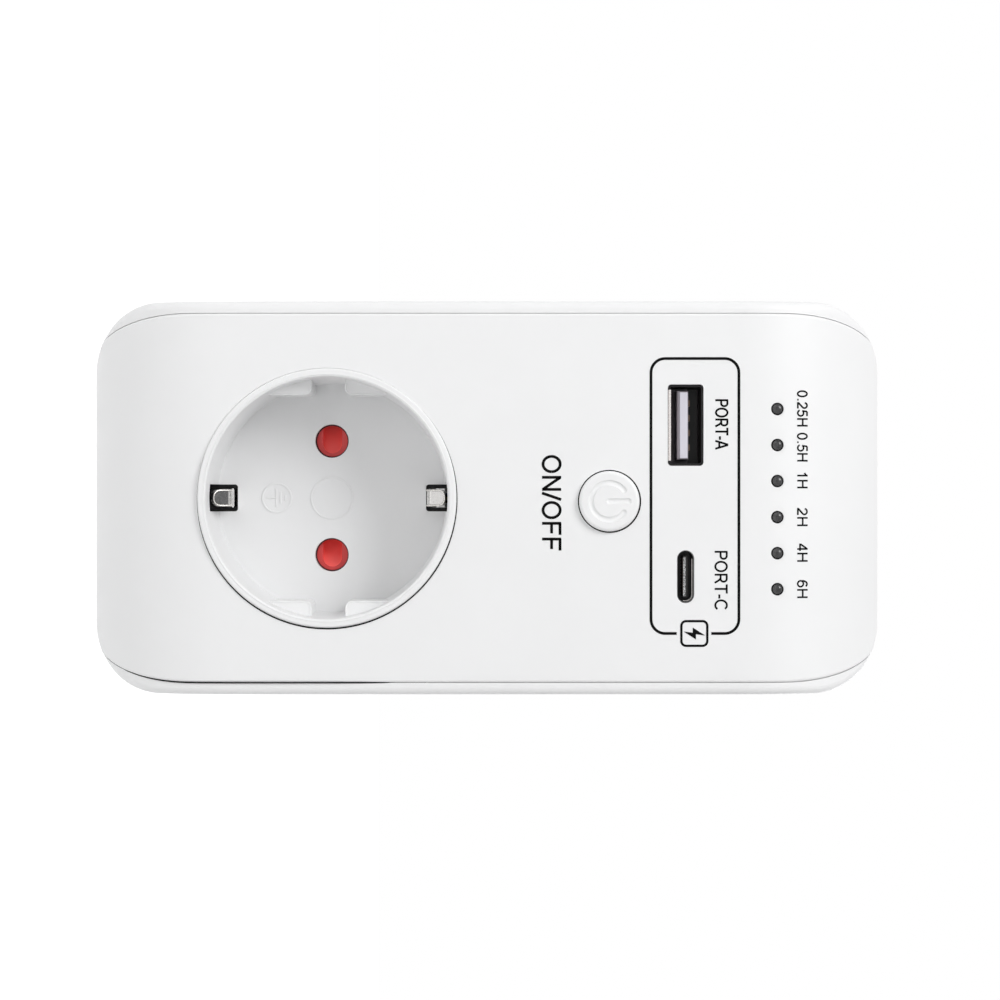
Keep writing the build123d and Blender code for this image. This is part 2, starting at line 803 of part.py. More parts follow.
# ---------------------------------------------------------------- earth strips and bridge
def build_earth_strip(end):
    """One strip from the plug's side contact to the clip in the socket, above or below."""
    peak = floor_front + earth_clip_peak
    land = peak + earth_clip_land
    heights = [
        (earth_strip_start, earth_strip_radius),
        (floor_back, earth_strip_radius),
        (peak, earth_clip_radius),
        (land, earth_clip_radius),
        (land + earth_clip_rise, earth_clip_radius + earth_clip_reach),
    ]
    route = [(depth, end * height) for depth, height in heights]
    strip = bent_strip(route, earth_strip_thickness, earth_bend, earth_strip_width, 0)
    with BuildPart() as trimmed:
        add(strip.part)
        # the clip is narrower than the strip
        with BuildSketch(facing(floor_back - earth_clip_root)):
            for side in (-1, 1):
                with Locations((side * (earth_clip_width / 2 + earth_strip_width / 2), end * mouth_radius)):
                    Rectangle(earth_strip_width, mouth_radius)
        extrude(amount=ring_rim - floor_back + earth_clip_root, mode=Mode.SUBTRACT)
        # and rounded at its free end
        free_end = trimmed.faces().sort_by(Axis.Y)[0]
        fillet(free_end.edges().sort_by(SortBy.LENGTH)[:2], earth_clip_tip)
    return trimmed


upper_earth_strip = build_earth_strip(1)
lower_earth_strip = build_earth_strip(-1)

with BuildPart() as earth_bridge:
    with BuildSketch(facing(plug_top)):
        Rectangle(earth_strip_width, 2 * strip_inner)
    extrude(amount=bridge_thickness)

# ---------------------------------------------------------------- contacts and bars
terminal_height = main_board_bottom + bar_end_inset


def build_contact(place):
    """A round spring contact, split crosswise, that grips a plug's pin."""
    with BuildPart() as contact:
        with BuildSketch(facing(contact_foot)):
            with Locations(place):
                Circle(contact_outer)
                Circle(contact_bore, mode=Mode.SUBTRACT)
        extrude(amount=base_back - contact_foot - contact_top_gap)
        with BuildSketch(facing(contact_foot + contact_wall)):
            with Locations(place):
                Rectangle(contact_slot, 3 * contact_outer)
        extrude(amount=base_back - contact_foot, mode=Mode.SUBTRACT)
    return contact


def build_pin_bar(side):
    """Strip from a pin's foot, out of the plug base and up to the main board."""
    low = pin_inner_end + bar_thickness / 2
    high = rear_inside + pin_bar_clear + bar_thickness / 2
    route = [
        (low, 0),
        (low, pin_bar_rise),
        (high, pin_bar_rise),
        (high, terminal_height),
        (main_board_depth, terminal_height),
    ]
    x = side * (pin_x + pin_bar_offset)
    strip = bent_strip(route, bar_thickness, bar_bend, bar_width, x)
    with BuildPart() as bar:
        add(strip.part)
        with BuildSketch(facing(pin_inner_end)):
            with Locations((side * pin_x, 0)):
                Circle(pin_foot_radius)
        extrude(amount=bar_thickness)
    return bar


def build_contact_bar(side):
    """Strip from under a contact up to the main board."""
    middle = contact_foot - bar_thickness / 2
    route = [(middle, 0), (middle, terminal_height), (main_board_depth, terminal_height)]
    strip = bent_strip(route, bar_thickness, bar_bend, bar_width, side * (pin_x - contact_bar_offset))
    with BuildPart() as bar:
        add(strip.part)
        with BuildSketch(facing(bar_back)):
            with Locations((side * pin_x, 0)):
                Circle(pocket_bore)
        extrude(amount=bar_thickness)
    return bar


left_contact, right_contact = [build_contact(place) for place in pin_places]
left_pin_bar, right_pin_bar = [build_pin_bar(side) for side in (-1, 1)]
left_contact_bar, right_contact_bar = [build_contact_bar(side) for side in (-1, 1)]


# ---------------------------------------------------------------- circuit boards
def build_board(depth, width, bottom, top, places):
    """A bare board with its screw holes."""
    with BuildPart() as board:
        with BuildSketch(facing(depth)):
            with Locations((0, (bottom + top) / 2)):
                RectangleRounded(width, top - bottom, board_corner)
            with Locations(*places):
                Circle(small_screw_radius + clear_gap, mode=Mode.SUBTRACT)
        extrude(amount=board_thickness)
    return board


main_board = build_board(
    main_board_depth, main_board_width, main_board_bottom, main_board_top, main_places
)
control_board = build_board(
    control_board_depth,
    control_board_width,
    control_board_bottom,
    control_board_top,
    control_places,
)

# ---------------------------------------------------------------- parts on the main board
relay = component_box(
    on_main_board(relay_place), relay_size, board_gap - relay_headroom, main_board_front
)
film_capacitor = component_box(
    on_main_board(film_capacitor_place),
    film_capacitor_size,
    board_gap - film_capacitor_headroom,
    main_board_front,
)
rectifier = component_box(
    on_main_board(rectifier_place), rectifier_size, rectifier_thickness, main_board_front
)
usb_chip = component_box(
    on_main_board(usb_chip_place), usb_chip_size, chip_thickness, main_board_front
)
board_header = component_box(
    on_main_board(header_place), header_size, board_gap, main_board_front
)
input_capacitor = can(
    on_main_board(input_capacitor_place),
    input_capacitor_radius,
    board_gap - input_capacitor_headroom,
    main_board_front,
)
output_capacitor = can(
    on_main_board(output_capacitor_place),
    output_capacitor_radius,
    board_gap - output_capacitor_headroom,
    main_board_front,
)

transformer_middle = on_main_board(transformer_place)
winding_height = board_gap - winding_headroom
core_back = main_board_front + (winding_height - core_size[2]) / 2
with BuildPart() as transformer_core:
    # two E halves: a middle leg and two outer legs round the winding
    with BuildSketch(facing(core_back)):
        with Locations(transformer_middle):
            Rectangle(core_size[0], core_size[1])
        window_width = (winding_size[0] - core_leg) / 2 + winding_gap
        window_middle = (core_leg + window_width) / 2
        across, up = transformer_middle
        with Locations((across - window_middle, up), (across + window_middle, up)):
            Rectangle(window_width, winding_size[1] + 2 * winding_gap, mode=Mode.SUBTRACT)
    extrude(amount=core_size[2])

with BuildPart() as transformer_winding:
    # bobbin and coil round the middle leg
    with BuildSketch(facing(main_board_front)):
        with Locations(transformer_middle):
            RectangleRounded(winding_size[0], winding_size[1], component_corner)
    extrude(amount=winding_height)
    with BuildSketch(facing(core_back - winding_gap)):
        with Locations(transformer_middle):
            Rectangle(core_leg + 2 * winding_gap, 2 * winding_size[1])
    extrude(amount=core_size[2] + 2 * winding_gap, mode=Mode.SUBTRACT)

with BuildPart() as fuse:
    # ceramic tube with two metal caps, lying on the board
    across, up = on_main_board(fuse_place)
    middle = Plane(origin=(across, -main_board_front - fuse_radius, up), z_dir=(0, 0, 1))
    with BuildSketch(middle.offset(-fuse_length / 2)):
        Circle(fuse_radius - clear_gap)
    extrude(amount=fuse_length)
    for start in (-fuse_length / 2, fuse_length / 2 - fuse_cap_length):
        with BuildSketch(middle.offset(start)):
            Circle(fuse_radius)
        extrude(amount=fuse_cap_length)

with BuildPart() as varistor:
    # coated disc that stands on edge
    across, up = on_main_board(varistor_place)
    disc = Plane(origin=(across, -main_board_front - varistor_radius, up), z_dir=(0, 0, 1))
    with BuildSketch(disc.offset(-varistor_thickness / 2)):
        Circle(varistor_radius)
    extrude(amount=varistor_thickness)
    fillet(varistor.edges().filter_by(GeomType.CIRCLE), varistor_edge_radius)

# ---------------------------------------------------------------- parts on the control board
timer_chip_across, timer_chip_share = timer_chip_place
timer_chip_height = control_board_bottom + timer_chip_share * control_board_length
timer_chip = component_box(
    (timer_chip_across, timer_chip_height),
    timer_chip_size,
    chip_thickness,
    control_board_depth,
    forward=-1,
)

lamp_surface = surface_depth(lamp_height)
holder_front = lamp_surface - cover_thickness - holder_front_gap
with BuildPart() as lamp_holder:
    with BuildSketch(facing(control_board_front)):
        with Locations((lamps_across, lamp_height)):
            holder_width = (lamp_count - 1) * lamp_pitch + 2 * holder_end_gap
            RectangleRounded(holder_width, holder_height, component_corner)
        with Locations(*lamp_places):
            Circle(lamp_radius + lamp_gap, mode=Mode.SUBTRACT)
    extrude(amount=holder_front - control_board_front)


def build_lamp(place):
    """A small round lamp that reaches from the board through the cover."""
    with BuildPart() as lamp:
        with BuildSketch(facing(control_board_front)):
            with Locations(place):
                Circle(lamp_radius)
        extrude(amount=lamp_surface + lamp_proud - control_board_front)
        fillet(lamp.edges().group_by(Axis.Y)[0], lamp_dome)
    return lamp


lamps = [build_lamp(place) for place in lamp_places]

# ---------------------------------------------------------------- power button and its switch
switch_front = control_board_front + switch_height
plunger_front = switch_front + plunger_proud
flange_front = cover_back - button_rest_gap

with BuildPart() as power_button:
    with BuildSketch(facing(flange_front)):
        with Locations(button_place):
            Circle(button_radius)
    extrude(amount=front_face + button_proud - flange_front)
    fillet(power_button.edges().group_by(Axis.Y)[0], button_edge_radius)
    # flange that keeps it behind the cover, and the stem that presses the switch
    with BuildSketch(facing(flange_front)):
        with Locations(button_place):
            Circle(button_radius + button_flange)
    extrude(amount=-button_flange_thickness)
    with BuildSketch(facing(plunger_front)):
        with Locations(button_place):
            Circle(stem_radius)
    extrude(amount=flange_front - button_flange_thickness - plunger_front)

plunger_foot = switch_front - plunger_hold
with BuildPart() as switch_body:
    with BuildSketch(facing(control_board_front)):
        with Locations(button_place):
            RectangleRounded(switch_side, switch_side, component_corner)
    extrude(amount=switch_height)
    with BuildSketch(facing(switch_front)):
        with Locations(button_place):
            Circle(plunger_radius + thread_gap)
    extrude(amount=-(plunger_hold + button_travel + clear_gap), mode=Mode.SUBTRACT)

with BuildPart() as switch_plunger:
    with BuildSketch(facing(plunger_foot)):
        with Locations(button_place):
            Circle(plunger_radius)
    extrude(amount=plunger_front - plunger_foot)

# ---------------------------------------------------------------- USB-A outlet
usb_a_front = front_face - usb_a_sunk
usb_a_inner_width = usb_a_width - 2 * usb_a_sheet
usb_a_inner_thickness = usb_a_thickness - 2 * usb_a_sheet
tongue_a_height = usb_height - tongue_a_offset

with BuildPart() as usb_a_shell:
    with BuildSketch(facing(control_board_front)):
        with Locations((usb_a_x, usb_height)):
            RectangleRounded(usb_a_width, usb_a_thickness, usb_a_corner)
            inner_corner = usb_a_corner - usb_a_sheet
            RectangleRounded(
                usb_a_inner_width, usb_a_inner_thickness, inner_corner, mode=Mode.SUBTRACT
            )
    extrude(amount=usb_a_front - control_board_front)

with BuildPart() as usb_a_tongue:
    with BuildSketch(facing(control_board_front)):
        with Locations((usb_a_x, usb_height)):
            Rectangle(usb_a_inner_width - 2 * usb_gap, usb_a_inner_thickness - 2 * usb_gap)
    extrude(amount=usb_block_height)
    with BuildSketch(facing(control_board_front)):
        with Locations((usb_a_x, tongue_a_height)):
            Rectangle(tongue_a_width, tongue_a_thickness)
    extrude(amount=usb_a_front - tongue_a_sunk - control_board_front)
    fillet(usb_a_tongue.edges().group_by(Axis.Y)[0], tongue_a_edge)

with BuildPart() as usb_a_contacts:
    # four strips on the upper face of the tongue
    strip_back = control_board_front + usb_block_height
    strip_front = usb_a_front - tongue_a_sunk - tongue_a_thickness / 2
    with BuildSketch(facing(strip_back)):
        with Locations((usb_a_x, tongue_a_height + (tongue_a_thickness + strip_thickness) / 2)):
            with GridLocations(strip_a_pitch, 0, 4, 1):
                Rectangle(strip_a_width, strip_thickness)
    extrude(amount=strip_front - strip_back)

# ---------------------------------------------------------------- USB-C outlet
usb_c_front = front_face - usb_c_lip - usb_gap
usb_c_inner_width = usb_c_width - 2 * usb_c_sheet
usb_c_inner_thickness = usb_c_thickness - 2 * usb_c_sheet

with BuildPart() as usb_c_shell:
    with BuildSketch(facing(control_board_front)):
        with Locations((usb_c_x, usb_height)):
            SlotOverall(usb_c_width, usb_c_thickness)
            SlotOverall(usb_c_inner_width, usb_c_inner_thickness, mode=Mode.SUBTRACT)
    extrude(amount=usb_c_front - control_board_front)

with BuildPart() as usb_c_tongue:
    with BuildSketch(facing(control_board_front)):
        with Locations((usb_c_x, usb_height)):
            SlotOverall(usb_c_inner_width - 2 * usb_gap, usb_c_inner_thickness - 2 * usb_gap)
    extrude(amount=usb_block_height + board_thickness)
    with BuildSketch(facing(control_board_front)):
        with Locations((usb_c_x, usb_height)):
            Rectangle(tongue_c_width, tongue_c_thickness)
    extrude(amount=usb_c_front - tongue_c_sunk - control_board_front)

with BuildPart() as usb_c_contacts:
    # a row of fine strips on each face of the tongue
    strip_back = control_board_front + usb_block_height + board_thickness
    strip_front = usb_c_front - tongue_c_sunk - tongue_c_thickness
    with BuildSketch(facing(strip_back)):
        for side in (-1, 1):
            strip_height = usb_height + side * (tongue_c_thickness + strip_c_thickness) / 2
            with Locations((usb_c_x, strip_height)):
                with GridLocations(strip_c_pitch, 0, strip_c_count, 1):
                    Rectangle(strip_c_width, strip_c_thickness)
    extrude(amount=strip_front - strip_back)

# ---------------------------------------------------------------- fasteners
case_screws = screws(
    case_places,
    case_seat,
    case_screw_radius,
    case_screw_length,
    case_head_radius,
    case_head_height,
    towards_room=True,
)


def small_screws(places, seat, towards_room):
    """Screws of the one small size, for the boards and the contact carrier."""
    return screws(
        places,
        seat,
        small_screw_radius,
        small_screw_length - clear_gap,
        small_head_radius,
        small_head_height,
        towards_room,
    )


carrier_screws = small_screws(carrier_places, base_back, towards_room=True)
control_board_screws = small_screws(control_places, control_board_depth, towards_room=True)
main_board_screws = small_screws(main_places, main_board_front, towards_room=False)

# ---------------------------------------------------------------- write the pieces
pieces = {
    "rear_shell": rear_shell,
    "front_cover": front_cover,
    "socket_insert": socket_insert,
    "plug_base": plug_base,
    "left_pin": left_pin,
    "right_pin": right_pin,
    "upper_earth_strip": upper_earth_strip,
    "lower_earth_strip": lower_earth_strip,
    "earth_bridge": earth_bridge,
    "contact_carrier": contact_carrier,
    "left_contact": left_contact,
    "right_contact": right_contact,
    "left_pin_bar": left_pin_bar,
    "right_pin_bar": right_pin_bar,
    "left_contact_bar": left_contact_bar,
    "right_contact_bar": right_contact_bar,
    "safety_shutter": safety_shutter,
    "shutter_spring": shutter_spring,
    "main_board": main_board,
    "relay": relay,
    "film_capacitor": film_capacitor,
    "input_capacitor": input_capacitor,
    "output_capacitor": output_capacitor,
    "transformer_core": transformer_core,
    "transformer_winding": transformer_winding,
    "rectifier": rectifier,
    "fuse": fuse,
    "varistor": varistor,
    "usb_chip": usb_chip,
    "board_header": board_header,
    "control_board": control_board,
    "timer_chip": timer_chip,
    "lamp_holder": lamp_holder,
    "power_button": power_button,
    "switch_body": switch_body,
    "switch_plunger": switch_plunger,
    "usb_a_shell": usb_a_shell,
    "usb_a_tongue": usb_a_tongue,
    "usb_a_contacts": usb_a_contacts,
    "usb_c_shell": usb_c_shell,
    "usb_c_tongue": usb_c_tongue,
    "usb_c_contacts": usb_c_contacts,
    "case_screws": case_screws,
    "carrier_screws": carrier_screws,
    "main_board_screws": main_board_screws,
    "control_board_screws": control_board_screws,
}
for number, lamp in enumerate(lamps, start=1):
    pieces[f"timer_lamp_{number}"] = lamp

os.makedirs("parts", exist_ok=True)
for name, piece in pieces.items():
    piece.part.label = name
    export_step(piece.part, f"parts/{name}.step")
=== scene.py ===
import math

import bmesh
import bpy
from mathutils import Matrix, Vector


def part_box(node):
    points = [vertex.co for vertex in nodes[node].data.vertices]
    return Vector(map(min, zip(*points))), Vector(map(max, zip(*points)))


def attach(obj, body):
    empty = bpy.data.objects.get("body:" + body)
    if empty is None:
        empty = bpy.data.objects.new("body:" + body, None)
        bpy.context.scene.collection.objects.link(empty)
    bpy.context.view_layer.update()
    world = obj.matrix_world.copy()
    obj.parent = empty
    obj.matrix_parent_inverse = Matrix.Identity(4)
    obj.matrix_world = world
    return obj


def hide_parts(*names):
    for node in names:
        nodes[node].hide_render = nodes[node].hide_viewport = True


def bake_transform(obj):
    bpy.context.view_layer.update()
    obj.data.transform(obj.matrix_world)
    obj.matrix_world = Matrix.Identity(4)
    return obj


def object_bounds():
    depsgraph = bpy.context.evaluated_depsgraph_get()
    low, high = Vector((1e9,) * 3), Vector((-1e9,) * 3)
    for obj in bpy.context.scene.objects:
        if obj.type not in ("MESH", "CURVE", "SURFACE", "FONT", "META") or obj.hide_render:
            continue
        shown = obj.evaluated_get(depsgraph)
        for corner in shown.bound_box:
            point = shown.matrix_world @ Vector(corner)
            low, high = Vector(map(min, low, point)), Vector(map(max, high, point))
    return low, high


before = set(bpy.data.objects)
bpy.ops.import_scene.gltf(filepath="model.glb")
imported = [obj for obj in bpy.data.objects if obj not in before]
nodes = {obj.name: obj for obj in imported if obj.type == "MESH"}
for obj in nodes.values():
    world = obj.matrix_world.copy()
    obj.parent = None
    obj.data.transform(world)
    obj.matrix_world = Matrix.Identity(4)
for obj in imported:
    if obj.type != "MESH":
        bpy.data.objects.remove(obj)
cad_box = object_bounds()
scene = bpy.context.scene
scene.view_settings.view_transform = "Standard"
MM = 0.001

# ------------------------------------------------------------------ camera
# The adaptor is looked at straight from the front, turned so that its length lies across.
# The eye is level with a point between the button and the socket.
eye_distance = 626.0 * MM
eye_height = 28.08 * MM
eye_side = 0.35 * MM
front_distance = eye_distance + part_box("front_cover")[0].y
width_in_view = 162.2 * MM

camera_data = bpy.data.cameras.new("camera")
camera_data.sensor_width = 36.0
camera_data.lens = camera_data.sensor_width * front_distance / width_in_view
camera_data.clip_start = 0.01
camera_data.clip_end = 20.0
camera = bpy.data.objects.new("camera", camera_data)
right, up, back = Vector((0, 0, 1)), Vector((-1, 0, 0)), Vector((0, -1, 0))
turned = Matrix((right, up, back)).transposed().to_4x4()
camera.matrix_world = Matrix.Translation((eye_side, -eye_distance, eye_height)) @ turned
scene.collection.objects.link(camera)
scene.camera = camera

# ------------------------------------------------------------------ studio
# A white studio with a pale floor and soft light all round, a little stronger from the sides. A
# large soft lamp stands beyond the upper end of the adaptor and on its left, a weak one opposite
# and one behind.
front_strength = 0.34
side_strength = 0.62
lamp_target = Vector((0.0, -0.05, 0.026))
floor_drop = 60.0 * MM
floor_half = 3.0
floor_glow = 0.5


def behind_eye(tree, plain, bright):
    """Mixes two shaders: the bright one for the eye, reflections and clear pieces, else the plain."""
    path = tree.nodes.new("ShaderNodeLightPath")
    eye_or_gloss = tree.nodes.new("ShaderNodeMath")
    eye_or_gloss.operation = "MAXIMUM"
    any_of_three = tree.nodes.new("ShaderNodeMath")
    any_of_three.operation = "MAXIMUM"
    mix = tree.nodes.new("ShaderNodeMixShader")
    tree.links.new(path.outputs["Is Camera Ray"], eye_or_gloss.inputs[0])
    tree.links.new(path.outputs["Is Glossy Ray"], eye_or_gloss.inputs[1])
    tree.links.new(eye_or_gloss.outputs[0], any_of_three.inputs[0])
    tree.links.new(path.outputs["Is Transmission Ray"], any_of_three.inputs[1])
    tree.links.new(any_of_three.outputs[0], mix.inputs[0])
    tree.links.new(plain.outputs[0], mix.inputs[1])
    tree.links.new(bright.outputs[0], mix.inputs[2])
    return mix


world = bpy.data.worlds.new("studio")
world.use_nodes = True
scene.world = world
world_tree = world.node_tree
sky = world_tree.nodes["Background"]
sky.inputs["Color"].default_value = (1.0, 1.0, 1.0, 1.0)
direction = world_tree.nodes.new("ShaderNodeTexCoord")
direction_parts = world_tree.nodes.new("ShaderNodeSeparateXYZ")
front_share = world_tree.nodes.new("ShaderNodeMath")
front_share.operation = "MULTIPLY"
sky_strength = world_tree.nodes.new("ShaderNodeMath")
sky_strength.operation = "MULTIPLY_ADD"
sky_strength.inputs[1].default_value = front_strength - side_strength
sky_strength.inputs[2].default_value = side_strength
world_tree.links.new(direction.outputs["Generated"], direction_parts.inputs[0])
world_tree.links.new(direction_parts.outputs["Y"], front_share.inputs[0])
world_tree.links.new(direction_parts.outputs["Y"], front_share.inputs[1])
world_tree.links.new(front_share.outputs[0], sky_strength.inputs[0])
world_tree.links.new(sky_strength.outputs[0], sky.inputs["Strength"])
white = world_tree.nodes.new("ShaderNodeBackground")
white.inputs["Color"].default_value = (1.0, 1.0, 1.0, 1.0)
white.inputs["Strength"].default_value = 1.0
sky_or_white = behind_eye(world_tree, sky, white)
world_tree.links.new(sky_or_white.outputs[0], world_tree.nodes["World Output"].inputs["Surface"])


def soft_lamp(name, place, diameter, energy):
    """A round soft lamp that faces the adaptor."""
    lamp_data = bpy.data.lights.new(name, "AREA")
    lamp_data.shape = "DISK"
    lamp_data.size = diameter
    lamp_data.energy = energy
    lamp = bpy.data.objects.new(name, lamp_data)
    lamp.location = place
    lamp.rotation_mode = "QUATERNION"
    lamp.rotation_quaternion = (lamp_target - place).to_track_quat("-Z", "Y")
    scene.collection.objects.link(lamp)


soft_lamp("main_lamp", Vector((-0.33, -0.6, 0.56)), 0.4, 3.65)
soft_lamp("fill_lamp", Vector((0.35, -0.6, -0.9)), 0.8, 0.5)
soft_lamp("rear_lamp", Vector((0.5, 0.9, 0.45)), 0.6, 2.6)

floor_level = cad_box[0].z - floor_drop
floor_mesh = bpy.data.meshes.new("floor")
floor_corners = [(-1, -1), (1, -1), (1, 1), (-1, 1)]
floor_points = [(x * floor_half, y * floor_half, floor_level) for x, y in floor_corners]
floor_mesh.from_pydata(floor_points, [], [(0, 1, 2, 3)])
floor = bpy.data.objects.new("floor", floor_mesh)
scene.collection.objects.link(floor)
floor_material = bpy.data.materials.new("studio_floor")
floor_material.use_nodes = True
floor_tree = floor_material.node_tree
floor_shader = floor_tree.nodes["Principled BSDF"]
floor_shader.inputs["Base Color"].default_value = (0.93, 0.93, 0.93, 1.0)
floor_shader.inputs["Roughness"].default_value = 0.8
floor_light = floor_tree.nodes.new("ShaderNodeEmission")
floor_light.inputs["Strength"].default_value = floor_glow
floor_sum = floor_tree.nodes.new("ShaderNodeAddShader")
floor_tree.links.new(floor_shader.outputs[0], floor_sum.inputs[0])
floor_tree.links.new(floor_light.outputs[0], floor_sum.inputs[1])
floor_look = behind_eye(floor_tree, floor_shader, floor_sum)
floor_tree.links.new(floor_look.outputs[0], floor_tree.nodes["Material Output"].inputs["Surface"])
floor.data.materials.append(floor_material)


# ------------------------------------------------------------------ housing
# The deep rear shell and the arched front cover are moulded in white plastic with a satin skin,
# and screwed together from behind. The mould's fine grain softens the gloss.
cloud_scale, smear_scale = 70.0, 220.0
noise_low, noise_high = 0.3, 0.7
cloud_start, cloud_full = 0.35, 0.65
gloss_change = 0.04


def add_noise(tree, scale, detail=2.0):
    """Noise that stays with the piece; scale is in cycles to the metre."""
    place = tree.nodes.new("ShaderNodeTexCoord")
    noise = tree.nodes.new("ShaderNodeTexNoise")
    noise.inputs["Scale"].default_value = scale
    noise.inputs["Detail"].default_value = detail
    tree.links.new(place.outputs["Object"], noise.inputs["Vector"])
    return noise.outputs["Fac"]


def spread(tree, noise, low, high):
    """Turns noise into a value between two limits."""
    limits = tree.nodes.new("ShaderNodeMapRange")
    limits.inputs["From Min"].default_value = noise_low
    limits.inputs["From Max"].default_value = noise_high
    limits.inputs["To Min"].default_value = low
    limits.inputs["To Max"].default_value = high
    tree.links.new(noise, limits.inputs["Value"])
    return limits.outputs["Result"]


def blend_colors(tree, noise, first, second):
    """Turns noise into a colour between two."""
    ramp = tree.nodes.new("ShaderNodeValToRGB")
    ramp.color_ramp.elements[0].position = cloud_start
    ramp.color_ramp.elements[1].position = cloud_full
    ramp.color_ramp.elements[0].color = (*first, 1.0)
    ramp.color_ramp.elements[1].color = (*second, 1.0)
    tree.links.new(noise, ramp.inputs["Fac"])
    return ramp.outputs["Color"]


def finish(name, color, roughness, metallic=0.0, mottle=0.03, grain=2500.0, grain_depth=4e-6):
    """A material with faint uneven colour and gloss and fine grain; returns it with its shader."""
    material = bpy.data.materials.new(name)
    material.use_nodes = True
    tree = material.node_tree
    shader = tree.nodes["Principled BSDF"]
    shader.inputs["Metallic"].default_value = metallic
    shader.inputs["IOR"].default_value = 1.49
    cloud = add_noise(tree, cloud_scale)
    darker = tuple(c * (1 - mottle) for c in color)
    tree.links.new(blend_colors(tree, cloud, darker, color), shader.inputs["Base Color"])
    smear = add_noise(tree, smear_scale)
    gloss = spread(tree, smear, roughness - gloss_change, roughness + gloss_change)
    tree.links.new(gloss, shader.inputs["Roughness"])
    bump = tree.nodes.new("ShaderNodeBump")
    bump.inputs["Strength"].default_value = 0.5
    bump.inputs["Distance"].default_value = grain_depth
    tree.links.new(add_noise(tree, grain), bump.inputs["Height"])
    tree.links.new(bump.outputs["Normal"], shader.inputs["Normal"])
    return material, shader


def dress(material, *names):
    """Gives CAD nodes a material."""
    for name in names:
        nodes[name].data.materials.clear()
        nodes[name].data.materials.append(material)


housing_white, _ = finish("housing_white", (0.86, 0.862, 0.866), 0.4, mottle=0.012)
dress(housing_white, "rear_shell", "front_cover")

cover_low, cover_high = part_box("front_cover")
cover_middle = (cover_low.z + cover_high.z) / 2
arch_run = 22.3 * MM
arch_drop = 13.0 * MM
arch_radius = (arch_run**2 + arch_drop**2) / (2 * arch_drop)
arch_start = (cover_high.z - cover_low.z) / 2 - arch_run


def cover_y(height):
    """The y of the cover's arched face at a height."""
    past = max(abs(height - cover_middle) - arch_start, 0.0)
    return cover_low.y + arch_radius - math.sqrt(arch_radius**2 - past**2)


# ------------------------------------------------------------------ printing
# One pass of black ink on the cover: a frame round the two outlets with a gap for the charging
# sign, the names of the outlets, ON/OFF below the button, and the hours above the lamps.
ink_thickness = 0.03 * MM
ink_slices = 0.3 * MM
ink_black, ink_shader = finish("ink_black", (0.006, 0.006, 0.006), 0.6, mottle=0.2, grain=9000.0)
ink_shader.inputs["Specular IOR Level"].default_value = 0.04


def add_piece(name, mesh, material):
    """Puts a mesh into the scene, fixed to the housing."""
    piece = bpy.data.objects.new(name, mesh)
    scene.collection.objects.link(piece)
    mesh.materials.clear()
    mesh.materials.append(material)
    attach(piece, "housing")
    return piece


def thicken(form):
    """Turns flat faces to the front and doubles them; returns the rear and the front points."""
    for face in form.faces:
        if face.normal.y > 0:
            face.normal_flip()
    rear = form.verts[:]
    doubled = bmesh.ops.extrude_face_region(form, geom=form.faces[:])["geom"]
    return rear, [part for part in doubled if isinstance(part, bmesh.types.BMVert)]


def close_form(form, name):
    """Turns all faces outwards and hands the form over as a mesh."""
    bmesh.ops.recalc_face_normals(form, faces=form.faces)
    mesh = bpy.data.meshes.new(name)
    form.to_mesh(mesh)
    form.free()
    return mesh


def print_on_cover(name, outline_mesh):
    """Lays flat faces, drawn with y 0, on the cover's arched face as a thin coat of ink."""
    form = bmesh.new()
    form.from_mesh(outline_mesh)
    heights = [vertex.co.z for vertex in form.verts]
    height, highest = min(heights) + ink_slices, max(heights)
    while height < highest and highest > cover_middle + arch_start:
        everything = form.verts[:] + form.edges[:] + form.faces[:]
        bmesh.ops.bisect_plane(form, geom=everything, plane_co=(0, 0, height), plane_no=(0, 0, 1))
        height += ink_slices
    bmesh.ops.remove_doubles(form, verts=form.verts, dist=1e-7)
    bottom, top = thicken(form)
    for vertex in top:
        vertex.co.y = cover_y(vertex.co.z) - ink_thickness
    for vertex in bottom:
        vertex.co.y = cover_y(vertex.co.z)
    add_piece(name, close_form(form, name), ink_black)


sharpest_mitre = 0.5


def flat_strokes(lines, width, closed=False):
    """Flat faces of even width along each line of (x, z) points, at y 0."""
    mesh = bpy.data.meshes.new("strokes")
    points, faces = [], []
    for line in lines:
        count = len(line)
        first = len(points)
        for i, (x, z) in enumerate(line):
            before = line[(i - 1) % count] if closed or i else line[i]
            after = line[(i + 1) % count] if closed or i < count - 1 else line[i]
            here = Vector((x, z))
            ahead = (Vector(after) - here).normalized() if after != line[i] else None
            behind = (here - Vector(before)).normalized() if before != line[i] else ahead
            ahead = ahead or behind
            along = (ahead + behind).normalized()
            side, across = Vector((-along.y, along.x)), Vector((-ahead.y, ahead.x))
            stretch = 1.0 / max(abs(side.dot(across)), sharpest_mitre)
            for sign in (-1, 1):
                edge = here + side * (sign * stretch * width / 2)
                points.append((edge.x, 0.0, edge.y))
        for i in range(count if closed else count - 1):
            a, b = first + 2 * i, first + 2 * ((i + 1) % count)
            faces.append((a, a + 1, b + 1, b))
    mesh.from_pydata(points, [], faces)
    return mesh


def arc(centre, radius, start, end, steps=12):
    """Points on an arc, with its angles in degrees from +X towards +Z."""
    angles = [math.radians(start + (end - start) * i / steps) for i in range(steps + 1)]
    return [(centre[0] + radius * math.cos(a), centre[1] + radius * math.sin(a)) for a in angles]


